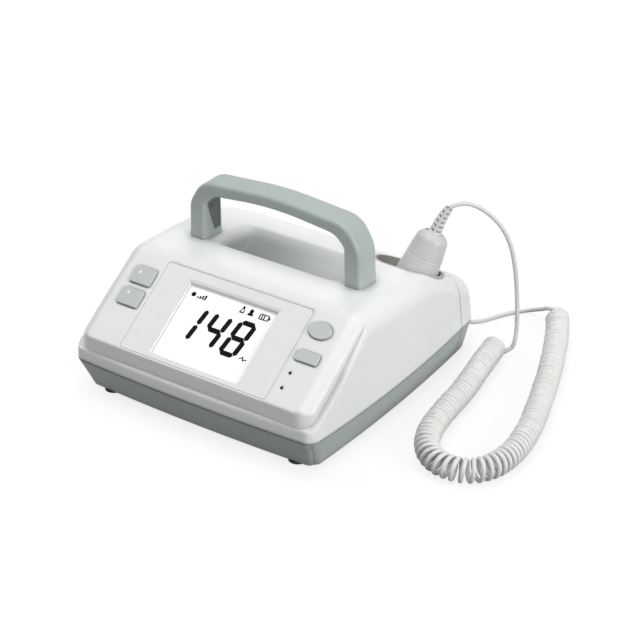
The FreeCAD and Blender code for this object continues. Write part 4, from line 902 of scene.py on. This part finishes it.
def makeScreenPicture():
    bm = bmesh.new()
    for digit, right in screen["digits"]:
        addDigit(bm, digit, right)
    for dot in signs["dots"]:
        addDisc(bm, *dot)
    for x0, y0, x1, y1, width in signs["bars"]:
        addBar(bm, (x0, y0), (x1, y1), width, pointed=False)
    addBar(bm, *signs["arrow"])
    made = bmesh.ops.extrude_face_region(bm, geom=list(bm.faces))
    tops = [g for g in made["geom"] if isinstance(g, bmesh.types.BMVert)]
    bmesh.ops.translate(bm, verts=tops, vec=(0, 0, screen["thick"]))
    for v in bm.verts:
        v.co = onScreen(v.co.x, v.co.y, v.co.z)
    bmesh.ops.recalc_face_normals(bm, faces=bm.faces)
    obj = addPiece("screen_picture", bm, mats["segmentInk"], "housing")
    obj.data.polygons.foreach_set("use_smooth", [False] * len(obj.data.polygons))


def highest(nodeName):
    # how far a node stands out along the panel's normal
    origin = Vector(screen["origin"])
    return max((v.co - origin).dot(outPanel) for v in nodes[nodeName].data.vertices)


def onPanel(bm, base):
    for v in bm.verts:
        v.co = onScreen(v.co.x, v.co.y, v.co.z + base - screen["depth"])
    bmesh.ops.recalc_face_normals(bm, faces=bm.faces)


# grey strips of painted shade along the top and left edges of the display opening
bezelShade = {
    "half": 0.0425,
    "low": 0.0089,
    "top": 0.0752,
    "band": 0.0027,
    "splay": 0.6,               # how far the band's upper corners draw out
    "liner": 0.0002,
    "under": 0.00005,           # the liner's bite into the overlay
    "deep": 0.0014,
    "proud": 0.00006,
}


def addBlock(bm, low, high):
    made = bmesh.ops.create_cube(bm, size=1.0)
    for v in made["verts"]:
        v.co = [end if c > 0 else start for c, start, end in zip(v.co, low, high)]
    return made["verts"]


def makeBezelShade():
    # painted shade: a grey band over the slope along the top of the display opening, and a grey
    # liner down its left side
    half, low, top = bezelShade["half"], bezelShade["low"], bezelShade["top"]
    band, proud = bezelShade["band"], bezelShade["proud"]
    bm = bmesh.new()
    for v in addBlock(bm, (-half, top, 0.0), (half, top + band, proud)):
        if v.co.y > top + band / 2:
            v.co.x *= 1 + bezelShade["splay"] * band / half
    addBlock(bm, (-half - bezelShade["under"], low, -bezelShade["deep"]),
             (-half + bezelShade["liner"], top, proud))
    onPanel(bm, highest("display_overlay") - proud / 2)
    addPiece("bezel_shade_strips", bm, mats["bezelShadeGrey"], "housing")


keyMarks = {
    "radius": 0.0014,
    "taper": 0.9,
    "thick": 0.0001,
    "rise": 0.00003,
    "places": {"upper_left_key": (-0.0877, 0.0688), "lower_left_key": (-0.0875, 0.0494)},
}


def makeKeyMarks():
    for key, (x, y) in keyMarks["places"].items():
        bm = bmesh.new()
        bmesh.ops.create_cone(bm, cap_ends=True, segments=24, radius1=keyMarks["radius"],
                              radius2=keyMarks["radius"] * keyMarks["taper"],
                              depth=keyMarks["thick"])
        bmesh.ops.translate(bm, verts=bm.verts, vec=(x, y, keyMarks["rise"]))
        onPanel(bm, highest(key))
        addPiece(key + "_mark", bm, mats["keyMark"], key)


makeScreenPicture()
makeBezelShade()
makeKeyMarks()
print("display picture and key marks done")


# floor, backdrop and light

studio = {
    "floor": 0.20,              # grey of the floor under the lamps
    "floorRadius": 7.0,
    "floorDrop": 0.0002,
    "floorGlow": 0.80,          # how white it shows nearer and farther than these distances
    "farGlow": 0.96,
    "near": 0.7,
    "far": 3.2,
    "sky": 0.22,
    "aim": (0.03, 0.0, 0.05),   # what the lamps point at
    "lamps": [
        # name, way to the lamp, distance, size, light on a surface that faces it
        ("rightLamp", (0.93, -0.12, 0.34), 2.4, 1.5, 0.61),
        ("frontLamp", (0.05, -0.50, 0.86), 2.6, 1.2, 0.17),
        ("topLamp", (0.02, 0.0, 0.99), 2.4, 1.8, 0.40),
        ("leftLamp", (-0.75, -0.04, 0.60), 2.6, 1.2, 0.20),
        ("backLamp", (-0.45, 0.85, 0.30), 2.6, 1.5, 0.45),
    ],
}


def makeFloor():
    bm = bmesh.new()
    bmesh.ops.create_circle(bm, cap_ends=True, segments=64, radius=studio["floorRadius"])
    bmesh.ops.translate(bm, verts=bm.verts, vec=(0, 0, -studio["floorDrop"]))
    mesh = bpy.data.meshes.new("floor")
    bm.to_mesh(mesh)
    bm.free()
    floor = bpy.data.objects.new("floor", mesh)
    scene.collection.objects.link(floor)
    mat, tree, shader = newMaterial("paleFloor")
    shader.inputs["Base Color"].default_value = (studio["floor"],) * 3 + (1,)
    shader.inputs["Roughness"].default_value = 0.9
    shader.inputs["Specular IOR Level"].default_value = 0.0
    path = addNode(tree, "ShaderNodeLightPath")
    seen = combine(tree, "MAXIMUM", path.outputs["Is Camera Ray"], path.outputs["Is Glossy Ray"])
    # whiter far out, where the lamps no longer reach
    far = addNode(tree, "ShaderNodeVectorMath", operation="LENGTH")
    tree.links.new(objectPlace(tree), far.inputs[0])
    glow = ramp(tree, far.outputs["Value"], studio["floorGlow"], studio["farGlow"],
                studio["near"], studio["far"])
    tree.links.new(combine(tree, "MULTIPLY", seen, glow), shader.inputs["Emission Strength"])
    shader.inputs["Emission Color"].default_value = (1, 1, 1, 1)
    mesh.materials.append(mat)


def makeSky():
    world = bpy.data.worlds.new("sky")
    world.use_nodes = True
    tree = world.node_tree
    back = tree.nodes["Background"]
    back.inputs["Color"].default_value = (1, 1, 1, 1)
    path = addNode(tree, "ShaderNodeLightPath")
    seen = combine(tree, "MAXIMUM", path.outputs["Is Camera Ray"],
                   path.outputs["Is Transmission Ray"])
    tree.links.new(ramp(tree, seen, studio["sky"], 1.0, 0.0, 1.0), back.inputs["Strength"])
    scene.world = world


def makeLamps():
    aim = Vector(studio["aim"])
    for name, way, distance, size, level in studio["lamps"]:
        data = bpy.data.lights.new(name, "AREA")
        data.shape = "DISK"
        data.size = size
        data.energy = level * (math.pi * distance) ** 2
        lamp = bpy.data.objects.new(name, data)
        toLamp = Vector(way).normalized()
        lamp.location = aim + toLamp * distance
        lamp.rotation_euler = toLamp.to_track_quat("Z", "Y").to_euler()
        lamp.visible_glossy = name != "backLamp"    # a fill with no shine of its own
        scene.collection.objects.link(lamp)


makeFloor()
makeSky()
makeLamps()
scene.view_settings.view_transform = "Standard"
print("studio done")
